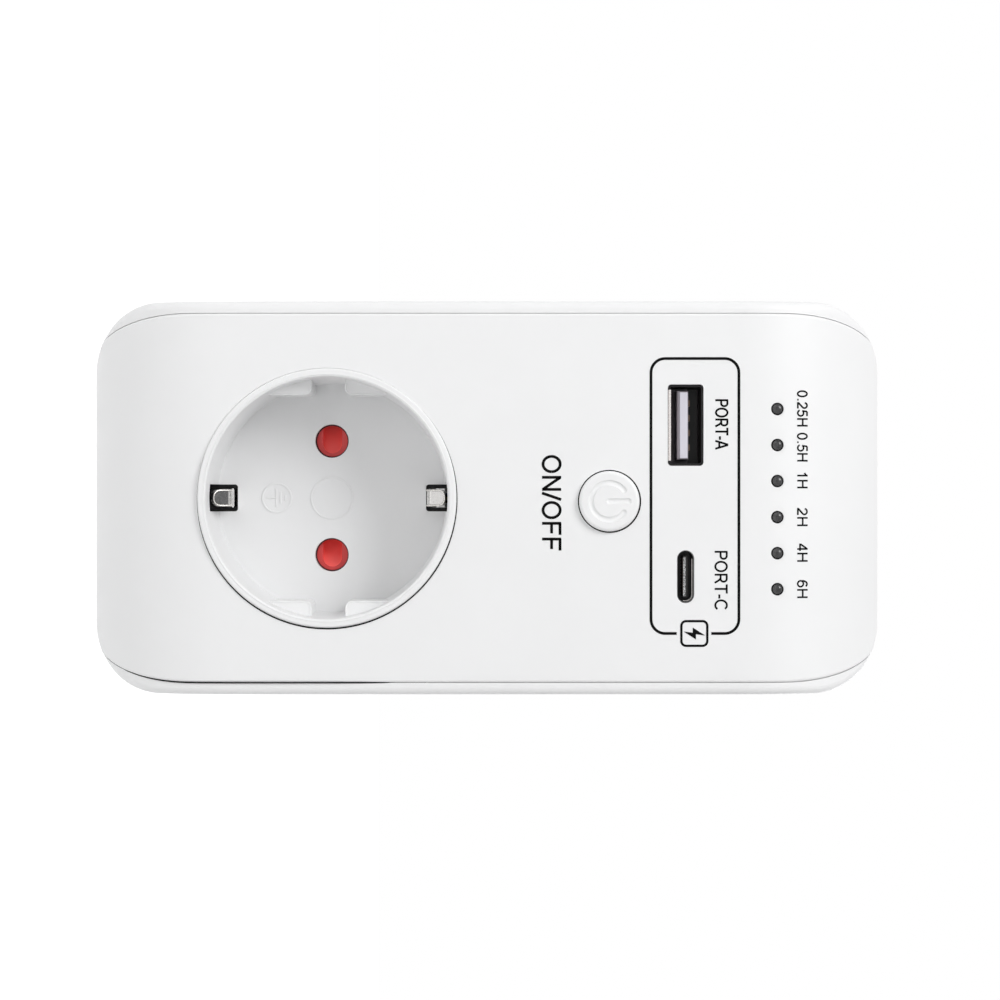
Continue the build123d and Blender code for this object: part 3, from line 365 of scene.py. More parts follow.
def rounded_square(left, right_edge, low, high, corner, steps):
    """The outline of a square with round corners, from its right side over the top and back."""
    line = arc((right_edge - corner, high - corner), corner, 0, 90, steps)
    line += arc((left + corner, high - corner), corner, 90, 180, steps)
    line += arc((left + corner, low + corner), corner, 180, 270, steps)
    return line + arc((right_edge - corner, low + corner), corner, 270, 360, steps)


# the frame round the outlets runs from the gap's upper end, over the left side, to its lower end
line_width = 0.45 * MM
frame_left, frame_right = -22.6 * MM, 22.0 * MM
frame_low, frame_high = 52.57 * MM, 66.83 * MM
frame_corner = 2.3 * MM
gap_low, gap_high = 56.74 * MM, 62.35 * MM
around = rounded_square(frame_left, frame_right, frame_low, frame_high, frame_corner, 12)
around = [(frame_right, gap_high), *around, (frame_right, gap_low)]
print_on_cover("printed_frame", flat_strokes([around], line_width))

# the charging sign in the gap of the frame is a plain bolt in a rounded square
sign_low, sign_high = 57.5 * MM, 61.7 * MM
sign_left, sign_right = 20.0 * MM, 24.0 * MM
sign_corner = 0.75 * MM
sign_line = 0.38 * MM
square = rounded_square(sign_left, sign_right, sign_low, sign_high, sign_corner, 5)
print_on_cover("charging_sign_square", flat_strokes([square], sign_line, closed=True))
bolt_size = 1.3 * MM
bolt_shape = [(0.25, 1.35), (-0.75, -0.2), (-0.1, -0.2), (-0.25, -1.35), (0.75, 0.2), (0.1, 0.2)]
bolt_x, bolt_z = (sign_left + sign_right) / 2, (sign_low + sign_high) / 2
bolt_points = [(bolt_x + bolt_size * x, 0.0, bolt_z + bolt_size * z) for x, z in bolt_shape]
bolt_mesh = bpy.data.meshes.new("bolt")
bolt_mesh.from_pydata(bolt_points, [], [(0, 1, 2, 5), (2, 3, 4, 5)])
print_on_cover("charging_sign_bolt", bolt_mesh)


def oval(x, z, half_width, half_height, start=0, end=360, steps=28):
    """Points on part of an oval, in shares of a capital's height."""
    angles = [math.radians(start + (end - start) * i / steps) for i in range(steps + 1)]
    return [(x + half_width * math.cos(a), z + half_height * math.sin(a)) for a in angles]


# each sign: how far it moves the pen, and the middle lines of its strokes
bowl = [(0.19, 0.94), (0.54, 0.94), *oval(0.54, 0.7, 0.26, 0.24, 85, -85, 14)]
bowl += [(0.54, 0.46), (0.19, 0.46)]
neck = [*oval(0.38, 0.69, 0.26, 0.25, 172, -38, 18), (0.1, 0.09)]
belly = oval(0.36, 0.33, 0.29, 0.28, 142, -160, 20)
signs = {
    "O": (1.09, [oval(0.545, 0.5, 0.42, 0.45)]),
    "N": (1.01, [[(0.18, 0), (0.18, 1)], [(0.19, 0.95), (0.83, 0.05)], [(0.84, 0), (0.84, 1)]]),
    "/": (0.42, [[(0.03, 0), (0.39, 1)]]),
    "F": (0.86, [[(0.18, 0), (0.18, 1)], [(0.18, 0.94), (0.81, 0.94)], [(0.18, 0.5), (0.73, 0.5)]]),
    "P": (0.93, [[(0.18, 0), (0.18, 1)], bowl]),
    "R": (1.01, [[(0.18, 0), (0.18, 1)], bowl, [(0.52, 0.45), (0.68, 0.33), (0.9, 0)]]),
    "T": (0.86, [[(0.43, 0), (0.43, 0.94)], [(0.03, 0.94), (0.83, 0.94)]]),
    "A": (0.93, [[(0.05, 0), (0.45, 1)], [(0.48, 1), (0.88, 0)], [(0.18, 0.31), (0.75, 0.31)]]),
    "C": (1.01, [oval(0.53, 0.5, 0.43, 0.45, 42, 322)]),
    "-": (0.48, [[(0.06, 0.36), (0.42, 0.36)]]),
    "H": (1.01, [[(0.17, 0), (0.17, 1)], [(0.84, 0), (0.84, 1)], [(0.17, 0.53), (0.84, 0.53)]]),
    ".": (0.39, [[(0.2, 0), (0.2, 0.13)]]),
    "0": (0.78, [oval(0.39, 0.49, 0.27, 0.45)]),
    "1": (0.78, [[(0.45, 0), (0.45, 1)], [(0.46, 0.9), (0.34, 0.78), (0.18, 0.71)]]),
    "2": (0.78, [neck, [(0.05, 0.06), (0.69, 0.06)]]),
    "4": (0.78, [[(0.53, 0), (0.53, 1)], [(0.52, 0.95), (0.09, 0.32)], [(0.04, 0.27), (0.7, 0.27)]]),
    "5": (0.78, [[(0.66, 0.94), (0.2, 0.94)], [(0.21, 0.94), (0.14, 0.47)], belly]),
    "6": (0.78, [oval(0.39, 0.32, 0.27, 0.27), oval(0.42, 0.46, 0.3, 0.48, 178, 48, 16)]),
}


def print_words(name, words, left, right_edge, low, capital, stroke_share):
    """Prints upright words between two x places, on a line at a height, all in millimetres."""
    left, right_edge, low, capital = left * MM, right_edge * MM, low * MM, capital * MM
    lines, pen = [], 0.0
    for letter in words:
        advance, strokes = signs[letter]
        lines += [[(pen + x, z) for x, z in stroke] for stroke in strokes]
        pen += advance
    stroke = stroke_share * capital
    first = min(x for line in lines for x, _ in line)
    last = max(x for line in lines for x, _ in line)
    wide = (right_edge - left - stroke) / (last - first)
    placed = [
        [(left + stroke / 2 + (x - first) * wide, low + z * capital) for x, z in line]
        for line in lines
    ]
    print_on_cover(name, flat_strokes(placed, stroke))


print_words("port_a_name", "PORT-A", -16.0, -7.8, low=63.0, capital=2.08, stroke_share=0.155)
print_words("port_c_name", "PORT-C", 8.6, 18.2, low=62.9, capital=2.08, stroke_share=0.15)
print_words("on_off", "ON/OFF", -6.95, 8.78, low=34.9, capital=3.1, stroke_share=0.148)
hours = [
    ("0.25H", -17.5, -11.6),
    ("0.5H", -10.6, -5.9),
    ("1H", -4.2, -1.55),
    ("2H", 1.5, 4.6),
    ("4H", 7.3, 10.4),
    ("6H", 13.35, 16.3),
]
for words, left, right_edge in hours:
    name = "hours_" + words.replace(".", "_")
    print_words(name, words, left, right_edge, low=76.4, capital=1.75, stroke_share=0.155)

# ------------------------------------------------------------------ socket
# The cup of the socket is one white moulding with its rim, keyed guides and floor. The floor bears
# raised signs. Behind it a black carrier holds the contacts.
dress(housing_white, "socket_insert")
carrier_black, _ = finish("carrier_black", (0.018, 0.018, 0.019), 0.5, mottle=0.2)
dress(carrier_black, "contact_carrier")

cup_depth = 17.5 * MM
floor_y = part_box("socket_insert")[0].y + cup_depth
raised, raised_line, raised_softness = 0.16 * MM, 0.28 * MM, 0.05 * MM
earth_sign_z, earth_sign_radius = -9.2 * MM, 2.4 * MM
floor_circle_radius = 3.45 * MM


def raise_on_floor(name, lines, closed=False):
    """Raised lines on the socket's floor, with softened upper edges."""
    form = bmesh.new()
    form.from_mesh(flat_strokes(lines, raised_line, closed))
    rear, front = thicken(form)
    for vertex in rear:
        vertex.co.y = floor_y + raised
    for vertex in front:
        vertex.co.y = floor_y - raised
    piece = add_piece(name, close_form(form, name), housing_white)
    soften = piece.modifiers.new("soften", "BEVEL")
    soften.width = raised_softness
    soften.segments = 2


# the earth sign is a stem and three bars of falling length in a circle
circle = arc((0, earth_sign_z), earth_sign_radius, 0, 360, 72)[:-1]
raise_on_floor("earth_sign_circle", [circle], closed=True)
stem_low, stem_high = earth_sign_z - 1.7 * MM, earth_sign_z - 0.1 * MM
earth_bars = [[(0, stem_low), (0, stem_high)]]
for half_length, rise in ((1.5, 0.0), (1.0, 0.75), (0.5, 1.5)):
    bar_z = stem_high + rise * MM
    earth_bars.append([(-half_length * MM, bar_z), (half_length * MM, bar_z)])
raise_on_floor("earth_sign_bars", earth_bars)
middle_circle = arc((0, 0), floor_circle_radius, 0, 360, 96)[:-1]
raise_on_floor("floor_circle", [middle_circle], closed=True)


def round_line(line, radius, sides=24, end_steps=6, level=(0, 1, 0)):
    """A round bar with round ends that follows a line of points, which never runs along level."""
    places = [Vector(point) for point in line]
    before, beyond = (places[0] - places[1]).normalized(), (places[-1] - places[-2]).normalized()
    turns = [math.pi / 2 * (i + 1) / end_steps for i in range(end_steps)]
    rings = []
    for turn in reversed(turns):
        rings.append((places[0] + before * radius * math.sin(turn), -before, math.cos(turn)))
    for i, place in enumerate(places):
        along = places[min(i + 1, len(places) - 1)] - places[max(i - 1, 0)]
        rings.append((place, along.normalized(), 1.0))
    for turn in turns:
        rings.append((places[-1] + beyond * radius * math.sin(turn), beyond, math.cos(turn)))
    form = bmesh.new()
    rows = []
    for place, along, share in rings:
        across = along.cross(Vector(level)).normalized()
        upward = across.cross(along)
        row = []
        for i in range(sides):
            angle = 2 * math.pi * i / sides
            spoke = across * math.cos(angle) + upward * math.sin(angle)
            row.append(form.verts.new(place + spoke * radius * share))
        rows.append(row)
    for one, other in zip(rows, rows[1:]):
        for i in range(sides):
            j = (i + 1) % sides
            form.faces.new((one[i], one[j], other[j], other[i])).smooth = True
    bmesh.ops.remove_doubles(form, verts=form.verts, dist=1e-8)
    return close_form(form, "round_line")


def add_ring(name, place, radius, thickness, material, turns=64, sides=10):
    """A round ring that faces the room, with its middle at a place."""
    form = bmesh.new()
    rows = []
    for i in range(turns):
        angle = 2 * math.pi * i / turns
        row = []
        for j in range(sides):
            tilt = 2 * math.pi * j / sides
            reach = radius + thickness / 2 * math.cos(tilt)
            x, z = place.x + reach * math.cos(angle), place.z + reach * math.sin(angle)
            row.append(form.verts.new((x, place.y + thickness / 2 * math.sin(tilt), z)))
        rows.append(row)
    for i in range(turns):
        one, other = rows[i], rows[(i + 1) % turns]
        for j in range(sides):
            k = (j + 1) % sides
            form.faces.new((one[j], one[k], other[k], other[j])).smooth = True
    add_piece(name, close_form(form, name), material)


# the joint between the cup's rim and the cover is flush on the left; on the right a black ring set
# off centre is painted shade in it. The same black is painted shade in the other gaps below.
gap_shade_black, gap_shade_shader = finish("gap_shade_black", (0.008, 0.008, 0.008), 0.7, mottle=0.2)
gap_shade_shader.inputs["Specular IOR Level"].default_value = 0.05
joint_radius, joint_thick = 21.03 * MM, 0.22 * MM
joint_place = Vector((0.2 * MM, cover_low.y - 0.02 * MM, 0.04 * MM))
add_ring("socket_joint_shade", joint_place, joint_radius, joint_thick, gap_shade_black, 128)
flush_radius, flush_thick = 21.09 * MM, 0.2 * MM
flush_place = Vector((-0.06 * MM, cover_low.y + 0.07 * MM, -0.03 * MM))
add_ring(
    "socket_flush_joint", flush_place, flush_radius, flush_thick, housing_white, 128
)

# a fine raised line runs round the rim, close to its inner edge
lip_radius, lip_thick = 20.08 * MM, 0.28 * MM
lip_place = Vector((0.0, cover_low.y - 0.42 * MM, 0.0))
add_ring("socket_lip", lip_place, lip_radius, lip_thick, housing_white, 128)

# painted shade: a dark bead lies in the seam beside the socket on the right, down into the lower
# corner, where it runs on an oval
seam_side, seam_end = 29.99 * MM, 64.8 * MM
seam_short, seam_long = 7.0 * MM, 16.3 * MM
seam_top, seam_steps = 16.0 * MM, 36
seam_radius, seam_depth = 0.105 * MM, 0.7 * MM
corner_x, corner_z = seam_side - seam_short, cover_middle - seam_end + seam_long
corner_steps, corner_step = 12, math.radians(5)
seam_drop = (corner_z - seam_top) / seam_steps
seam_points = [(seam_side, seam_top + i * seam_drop) for i in range(seam_steps + 1)]
for i in range(1, corner_steps + 1):
    angle = i * corner_step
    x, z = corner_x + seam_short * math.cos(angle), corner_z - seam_long * math.sin(angle)
    seam_points.append((x, z))

# its dark line fades out at both ends, where it sinks into the cover
seam_line = []
for i, (x, z) in enumerate(seam_points):
    off_middle = abs(2 * i / (len(seam_points) - 1) - 1)
    shown = seam_radius * (1 - off_middle**2)
    sunk = math.sqrt(seam_radius**2 - shown**2) + seam_depth * off_middle**4
    seam_line.append((x, cover_y(z) + sunk, z))
add_piece("seam_shade_line", round_line(seam_line, seam_radius, 10), gap_shade_black)

# painted shade: a thin dark maroon ring stands behind each pin entry, in the gap between floor and
# slide
entry_shade_maroon, _ = finish("entry_shade_maroon", (0.05, 0.01, 0.013), 0.5, mottle=0.2)
entry_off, entry_back = 9.5 * MM, floor_y + 1.96 * MM
entry_shade_radius, entry_shade_thick = 2.76 * MM, 0.38 * MM
for side, name in ((-1, "left_entry_shade"), (1, "right_entry_shade")):
    entry_shade_place = Vector((side * entry_off, entry_back, 0.0))
    add_ring(name, entry_shade_place, entry_shade_radius, entry_shade_thick, entry_shade_maroon)

# a fine bead rounds the upper edge of each of the four guides
guide_face, guide_side, guide_corner = 16.85 * MM, 2.75 * MM, 1.0 * MM
guide_wall, guide_height = 19.5 * MM, 12.5 * MM
bead_radius = 0.15 * MM
along_face = math.sqrt(guide_wall**2 - guide_face**2)
along_side = math.sqrt(guide_wall**2 - guide_side**2)
corner_middle = (guide_face + guide_corner, guide_side + guide_corner)
guide_edge = [(guide_face, along_face)]
guide_edge += arc(corner_middle, guide_corner, 180, 270, 8)
guide_edge += [(along_side, guide_side)]
bead_inset = 0.8 * bead_radius
bead_y = floor_y - guide_height + 0.3 * bead_radius
for side, side_name in ((-1, "left"), (1, "right")):
    for end, end_name in ((-1, "lower"), (1, "upper")):
        edge = [(side * (x + bead_inset), bead_y, end * (z + bead_inset)) for x, z in guide_edge]
        bead = round_line(edge, bead_radius, 12)
        add_piece(f"{side_name}_{end_name}_guide_bead", bead, housing_white)

# ------------------------------------------------------------------ safety shutter
# A red slide of tough plastic that closes both pin entries until two pins push on its ramps. A
# small steel spring returns it.
def tint_by_normal(material, color, axis, start, full):
    """Paints shade: blends to another colour where a face's normal along one axis passes from start
    to full.
    """
    tree = material.node_tree
    shader = tree.nodes["Principled BSDF"]
    plain = shader.inputs["Base Color"].links[0].from_socket
    surface = tree.nodes.new("ShaderNodeNewGeometry")
    parts = tree.nodes.new("ShaderNodeSeparateXYZ")
    share = tree.nodes.new("ShaderNodeMapRange")
    share.inputs["From Min"].default_value = start
    share.inputs["From Max"].default_value = full
    blend = tree.nodes.new("ShaderNodeMix")
    blend.data_type = "RGBA"
    sockets = {s.identifier: s for s in blend.inputs}
    sockets["B_Color"].default_value = (*color, 1.0)
    tree.links.new(surface.outputs["Normal"], parts.inputs[0])
    tree.links.new(parts.outputs[axis], share.inputs["Value"])
    tree.links.new(share.outputs["Result"], sockets["Factor_Float"])
    tree.links.new(plain, sockets["A_Color"])
    mixed = next(s for s in blend.outputs if s.identifier == "Result_Color")
    tree.links.new(mixed, shader.inputs["Base Color"])


shutter_red, shutter_shader = finish("shutter_red", (1.0, 0.15, 0.135), 0.34, mottle=0.05)
# painted shade: the slide's flat front, which faces the room, is a darker red than its sloped ramps
tint_by_normal(shutter_red, (0.64, 0.05, 0.05), "Y", -0.93, -0.99)
# painted light: the red plastic glows faintly, though it is no lamp
shutter_shader.inputs["Emission Color"].default_value = (1.0, 0.06, 0.06, 1.0)
shutter_shader.inputs["Emission Strength"].default_value = 0.085
dress(shutter_red, "safety_shutter")

# the coil spring stands between the slide's lug and the end of its track
spring_steel, _ = finish("spring_steel", (0.55, 0.55, 0.56), 0.3, metallic=1.0, mottle=0.1)
spring_low, spring_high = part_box("shutter_spring")
wire_radius = 0.2 * MM
spring_turns, turn_steps = 6, 24
coil_radius = (spring_high.z - spring_low.z) / 2 - wire_radius
coil_start, coil_end = spring_low.x + wire_radius, spring_high.x - wire_radius
coil_y, coil_z = (spring_low.y + spring_high.y) / 2, (spring_low.z + spring_high.z) / 2
coil_line, coil_steps = [], spring_turns * turn_steps
for i in range(coil_steps + 1):
    angle = 2 * math.pi * i / turn_steps
    x = coil_start + (coil_end - coil_start) * i / coil_steps
    y, z = coil_y + coil_radius * math.cos(angle), coil_z + coil_radius * math.sin(angle)
    coil_line.append((x, y, z))
coil_mesh = round_line(coil_line, wire_radius, 8, 3, level=(1, 0, 0))
coil_mesh.materials.append(spring_steel)
coil = bpy.data.objects.new("shutter_coil_spring", coil_mesh)
scene.collection.objects.link(coil)
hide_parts("shutter_spring")
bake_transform(coil)


# ------------------------------------------------------------------ metal in the mains path
# Solid nickel-plated pins, punched and bent earth strips with the same plating, and brass strips
# and split contacts inside.
along_depth = (4000.0, 300.0, 4000.0)
smoother, rougher = 0.07, 0.09


def plated(name, color, roughness, draw_scale, mottle=0.06):
    """Metal with fine lines from drawing or rolling, in cycles to the metre along each axis."""
    material, shader = finish(name, color, roughness, 1.0, mottle, grain=1400.0, grain_depth=2e-6)
    tree = material.node_tree
    place = tree.nodes.new("ShaderNodeTexCoord")
    stretch = tree.nodes.new("ShaderNodeMapping")
    stretch.inputs["Scale"].default_value = draw_scale
    lines = tree.nodes.new("ShaderNodeTexNoise")
    lines.inputs["Scale"].default_value = 1.0
    tree.links.new(place.outputs["Object"], stretch.inputs["Vector"])
    tree.links.new(stretch.outputs["Vector"], lines.inputs["Vector"])
    uneven = spread(tree, lines.outputs["Fac"], roughness - smoother, roughness + rougher)
    tree.links.new(uneven, shader.inputs["Roughness"])
    return material


nickel = plated("nickel_plating", (0.6, 0.585, 0.56), 0.26, along_depth)
dress(nickel, "left_pin", "right_pin", "earth_bridge")

# the clips are tumbled round at their edges; their outward faces are darkened as painted shade, the
# lower one almost to black
upper_clip_shaded_nickel = plated("upper_clip_shaded_nickel", (0.84, 0.83, 0.81), 0.24, along_depth)
tint_by_normal(upper_clip_shaded_nickel, (0.41, 0.4, 0.395), "Y", -0.75, -0.9)
dress(upper_clip_shaded_nickel, "upper_earth_strip")
lower_clip_shaded_nickel = plated("lower_clip_shaded_nickel", (0.8, 0.79, 0.77), 0.24, along_depth)
tint_by_normal(lower_clip_shaded_nickel, (0.1, 0.1, 0.1), "Y", -0.75, -0.86)
dress(lower_clip_shaded_nickel, "lower_earth_strip")

# a bright rim runs round the free end of each clip, which rises from its bend to its tip
clip_half, clip_corner = 1.35 * MM, 1.2 * MM
bend_z, bend_y = 16.05 * MM, -50.84 * MM
tip_z, tip_y = 19.1 * MM, -52.53 * MM
rim_radius = 0.17 * MM
rim_inset = 0.6 * rim_radius
rim_half, rim_corner = clip_half - rim_inset, clip_corner - rim_inset
rim_centre_x, rim_centre_z = rim_half - rim_corner, tip_z - rim_inset - rim_corner
rim_line = [(rim_half, bend_z)]
rim_line += arc((rim_centre_x, rim_centre_z), rim_corner, 0, 90, 8)
rim_line += arc((-rim_centre_x, rim_centre_z), rim_corner, 90, 180, 8)
rim_line += [(-rim_half, bend_z)]
slope = (tip_y - bend_y) / (tip_z - bend_z)
for end, name in ((1, "upper_clip_rim"), (-1, "lower_clip_rim")):
    rim = [(x, bend_y + slope * (z - bend_z), end * z) for x, z in rim_line]
    add_piece(name, round_line(rim, rim_radius, 12), nickel)

brass = plated("contact_brass", (0.78, 0.56, 0.28), 0.32, (3500.0, 250.0, 3500.0))
dress(brass, "left_contact", "right_contact", "left_pin_bar", "right_pin_bar")
dress(brass, "left_contact_bar", "right_contact_bar")

# ------------------------------------------------------------------ plug
# The round plug with its two flats and grooves is a white moulding of its own, held in the rear
# shell by a collar.
dress(housing_white, "plug_base")

# ------------------------------------------------------------------ power button
# A white cap with a softly rounded edge and the power sign sunk into its face. It rides on the
# small switch of the control board, in a round hole of the cover; a black ring in the gap round it
# is painted shade.
dress(housing_white, "power_button")
button_low, button_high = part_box("power_button")
button_x = (button_low.x + button_high.x) / 2
button_z = (button_low.z + button_high.z) / 2
power_radius, power_bar_end = 2.98 * MM, 3.62 * MM
power_stroke, power_depth = 0.95 * MM, 0.31 * MM
power_opening = 74


def power_groove(line):
    """A form that cuts a round-bottomed groove into the button's face along (x, z) points."""
    radius = (power_stroke**2 / 4 + power_depth**2) / (2 * power_depth)
    return round_line([(x, button_low.y - radius + power_depth, z) for x, z in line], radius)


def cut_from(name, mesh, body):
    """Sinks a form into a CAD node, on the body that carries both."""
    cutter = bpy.data.objects.new(name + "_sunk_form", mesh)
    scene.collection.objects.link(cutter)
    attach(cutter, body)
    cutter.hide_render = True
    cutter.hide_viewport = True
    sink = nodes[name].modifiers.new("sink", "BOOLEAN")
    sink.operation = "DIFFERENCE"
    sink.solver = "EXACT"
    sink.object = cutter


arc_start, arc_end = 90 + power_opening / 2, 450 - power_opening / 2
power_arc = arc((button_x, button_z), power_radius, arc_start, arc_end, 48)
power_bar = [(button_x, button_z), (button_x, button_z + power_bar_end - power_stroke / 2)]
cut_from("power_button", power_groove(power_arc), "button")
cut_from("power_button", power_groove(power_bar), "button")

# painted shade: a black ring lies just below the cover's face in the gap round the button, a little
# off centre
button_shade_radius, button_shade_thick = 5.03 * MM, 0.3 * MM
shade_ring_place = Vector((button_x + 0.03 * MM, cover_low.y + 0.12 * MM, button_z + 0.07 * MM))
add_ring("button_gap_shade", shade_ring_place, button_shade_radius, button_shade_thick, gap_shade_black, 96)

# ------------------------------------------------------------------ USB outlets
# Each outlet is a folded shell of steel with a moulded tongue and plated contacts, soldered to
# the control board behind the cover. The wide one lies in its own shade, and its shell's near-black
# colour is painted shade.
across_shell = (300.0, 2500.0, 2500.0)
# painted shade: the wide outlet's shell is set near-black, far darker than its steel
shell_painted_shade = plated("steel_painted_shade", (0.03, 0.029, 0.03), 0.34, across_shell)
dress(shell_painted_shade, "usb_a_shell")
shell_grey = plated("shell_grey_steel", (0.2, 0.2, 0.205), 0.3, across_shell)
dress(shell_grey, "usb_c_shell")
# painted shade: the wide outlet's tongue is a darker copy of the lavender of its bar
tongue_painted_shade, _ = finish("tongue_painted_shade", (0.36, 0.33, 0.37), 0.38)
dress(tongue_painted_shade, "usb_a_tongue")
tongue_black, _ = finish("tongue_black", (0.012, 0.012, 0.013), 0.4, mottle=0.2)
dress(tongue_black, "usb_c_tongue")
dark_copper, _ = finish("contact_dark_copper", (0.14, 0.1, 0.08), 0.35, 1.0)
dress(dark_copper, "usb_a_contacts", "usb_c_contacts")


def soft_block(name, low, high, material, edge=0.05):
    """A small block between two corners with rounded edges, all in millimetres."""
    form = bmesh.new()
    bmesh.ops.create_cube(form, size=1.0)
    for vertex in form.verts:
        for axis in range(3):
            vertex.co[axis] = (high[axis] if vertex.co[axis] > 0 else low[axis]) * MM
    bmesh.ops.bevel(
        form, geom=form.edges[:], offset=edge * MM, segments=3, profile=0.5, affect="EDGES"
    )
    add_piece(name, close_form(form, name), material)


def box_in_millimetres(name):
    """The lowest and highest corners of a CAD node in millimetres."""
    return [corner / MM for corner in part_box(name)]


# a paler bar lies along the wide outlet's tongue; a black block behind it is painted shade
tongue_lavender, _ = finish("tongue_lavender", (0.67, 0.65, 0.72), 0.38)
low, high = box_in_millimetres("usb_a_tongue")
bar_inset, bar_proud, bar_thick, bar_rise, bar_width = 0.745, 0.3, 1.1, 1.545, 1.3
bar_low = (low.x + bar_inset, low.y - bar_proud, low.z + bar_rise)
bar_high = (high.x - bar_inset, bar_low[1] + bar_thick, bar_low[2] + bar_width)
soft_block("usb_a_tongue_bar", bar_low, bar_high, tongue_lavender, edge=0.1)
back_inset, back_start, back_thick, back_height = 0.045, 7.7, 1.6, 1.62
back_low = (low.x + back_inset, low.y + back_start, high.z - back_inset - back_height)
back_high = (high.x - back_inset, back_low[1] + back_thick, high.z - back_inset)
soft_block("usb_a_back_shade", back_low, back_high, tongue_black)

# a bright spring strip lies along the lower side of the wide outlet
bright_steel = plated("bright_steel", (0.72, 0.68, 0.66), 0.25, (3000.0, 300.0, 3000.0))
low, high = box_in_millimetres("usb_a_shell")
strip_inset, strip_width, strip_depth = 0.75, 0.46, 1.6
strip_proud, strip_rise = 0.05, 0.02
strip_low = (low.x + strip_inset, low.y - strip_proud, low.z + strip_rise)
strip_high = (high.x - strip_inset, strip_low[1] + strip_depth, strip_low[2] + strip_width)
soft_block("usb_a_spring_strip", strip_low, strip_high, bright_steel)

# a steel middle plate shows as a fine line in the face of the small outlet's tongue
plate_steel, plate_shader = finish("middle_plate_steel", (0.5, 0.5, 0.5), 0.45, 1.0)
plate_tree = plate_steel.node_tree
speckle = blend_colors(plate_tree, add_noise(plate_tree, 9000.0, 0.0), (0.04,) * 3, (0.62,) * 3)
plate_tree.links.new(speckle, plate_shader.inputs["Base Color"])
low, high = box_in_millimetres("usb_c_tongue")
plate_half, plate_thick, plate_shift = 3.2, 0.42, 0.12
plate_proud, plate_deep = 0.03, 1.0
middle_x, middle_z = (low.x + high.x) / 2, (low.z + high.z) / 2 - plate_shift
plate_low = (middle_x - plate_half, low.y - plate_proud, middle_z - plate_thick / 2)
plate_high = (middle_x + plate_half, low.y + plate_deep, middle_z + plate_thick / 2)
soft_block("usb_c_middle_plate", plate_low, plate_high, plate_steel)

# the fold of the small shell shows as a fine bright edge along its upper side and round one end
low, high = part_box("usb_c_shell")
fold_inset, fold_start, fold_sunk, fold_thick = 0.52 * MM, 1.6 * MM, 0.05 * MM, 0.06 * MM
shell_half = (high.z - low.z) / 2
fold_radius = shell_half - fold_inset
fold_x, fold_z = high.x - shell_half, low.z + shell_half
fold_line = [(low.x + fold_start, fold_z + fold_radius)]
fold_line += arc((fold_x, fold_z), fold_radius, 90, -20, 10)
fold = [(x, low.y + fold_sunk, z) for x, z in fold_line]
add_piece("usb_c_fold", round_line(fold, fold_thick, 10), bright_steel)

# ------------------------------------------------------------------ timer lamps
# Six small lamps with smoke-tinted domed lenses stand in a black holder on the control board. Each
# lens fills a hole in the cover; a black ring round it is painted shade in the gap.
lens_smoke, lens_shader = finish("lens_smoke", (0.024, 0.024, 0.025), 0.22)
lens_shader.inputs["Coat Weight"].default_value = 0.3
lens_shader.inputs["Coat Roughness"].default_value = 0.05
lens_tree = lens_smoke.node_tree
lens_cloud = add_noise(lens_tree, 1900.0, 1.0)
lens_color = blend_colors(lens_tree, lens_cloud, (0.006, 0.006, 0.007), (0.034, 0.034, 0.036))
lens_tree.links.new(lens_color, lens_shader.inputs["Base Color"])
lamp_nodes = [f"timer_lamp_{i}" for i in range(1, 7)]
dress(lens_smoke, *lamp_nodes)
dress(carrier_black, "lamp_holder")

# painted shade: a black ring in the gap round each lens
lamp_shade_radius, lamp_shade_thick, lamp_shade_proud = 0.91 * MM, 0.22 * MM, 0.02 * MM
for lamp_name in lamp_nodes:
    low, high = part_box(lamp_name)
    shade_ring_place = (low + high) / 2
    shade_ring_place.y = cover_y(shade_ring_place.z) - lamp_shade_proud
    name = lamp_name + "_gap_shade"
    add_ring(name, shade_ring_place, lamp_shade_radius, lamp_shade_thick, gap_shade_black)

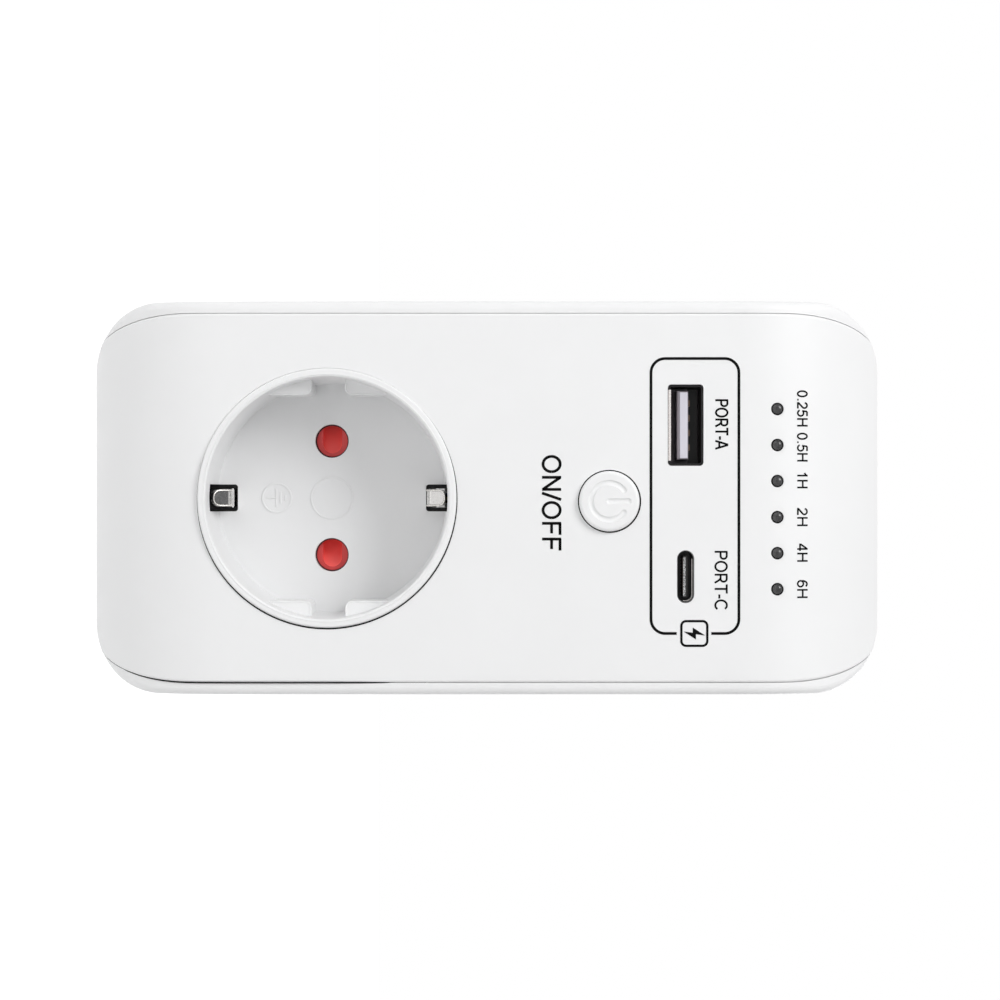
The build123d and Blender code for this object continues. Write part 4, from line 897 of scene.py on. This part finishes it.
# ------------------------------------------------------------------ boards
# Two glass-fibre boards with a green lacquer over their copper lines carry the electronics. They
# are closed in by the housing, and each part on them has the colour that such parts have.
board_green, _ = finish("board_green", (0.02, 0.16, 0.07), 0.35, mottle=0.3)
dress(board_green, "main_board", "control_board")
part_finishes = {
    "relay": ("relay_blue", (0.03, 0.12, 0.42), 0.35),
    "film_capacitor": ("film_yellow", (0.78, 0.55, 0.06), 0.4),
    "input_capacitor": ("can_sleeve", (0.02, 0.02, 0.03), 0.3),
    "output_capacitor": ("can_sleeve_dark", (0.025, 0.02, 0.02), 0.3),
    "transformer_core": ("ferrite", (0.05, 0.05, 0.052), 0.6),
    "transformer_winding": ("winding_tape", (0.75, 0.62, 0.12), 0.3),
    "rectifier": ("rectifier_black", (0.02, 0.02, 0.02), 0.45),
    "fuse": ("fuse_ceramic", (0.75, 0.72, 0.66), 0.3),
    "varistor": ("varistor_blue", (0.02, 0.09, 0.3), 0.35),
    "usb_chip": ("chip_black", (0.02, 0.02, 0.021), 0.5),
    "timer_chip": ("timer_chip_black", (0.022, 0.022, 0.022), 0.5),
    "board_header": ("header_black", (0.018, 0.018, 0.018), 0.45),
    "switch_body": ("switch_black", (0.02, 0.02, 0.02), 0.4),
    "switch_plunger": ("plunger_grey", (0.35, 0.35, 0.35), 0.4),
}
for part, (name, color, roughness) in part_finishes.items():
    dress(finish(name, color, roughness, mottle=0.1)[0], part)

# ------------------------------------------------------------------ screws
# Zinc-plated steel screws. The four long ones hold the housing's halves together. Their heads sit
# deep in the rear shell, and have crossed recesses.
zinc, _ = finish("zinc_plating", (0.62, 0.63, 0.66), 0.3, 1.0, 0.12, grain=1800.0)
dress(zinc, "case_screws", "carrier_screws", "main_board_screws", "control_board_screws")

# each recess is two crossed blades that narrow towards their bottom, here in millimetres
head_radius = 2.8
blade_length, blade_width, blade_depth = 3.2, 0.75, 1.5
blade_above, bottom_share = 0.3, 0.72
low, high = box_in_millimetres("case_screws")
crosses = bmesh.new()
for x in (low.x + head_radius, high.x - head_radius):
    for z in (low.z + head_radius, high.z - head_radius):
        for wide, tall in ((blade_length, blade_width), (blade_width, blade_length)):
            blade = bmesh.ops.create_cube(crosses, size=1.0)
            for vertex in blade["verts"]:
                outer = vertex.co.y > 0
                share = 1.0 if outer else bottom_share
                vertex.co.x = (x + vertex.co.x * wide * share) * MM
                vertex.co.z = (z + vertex.co.z * tall * share) * MM
                vertex.co.y = (high.y + (blade_above if outer else -blade_depth)) * MM
cut_from("case_screws", close_form(crosses, "crosses"), "housing")
nodes["case_screws"].modifiers["sink"].use_self = True
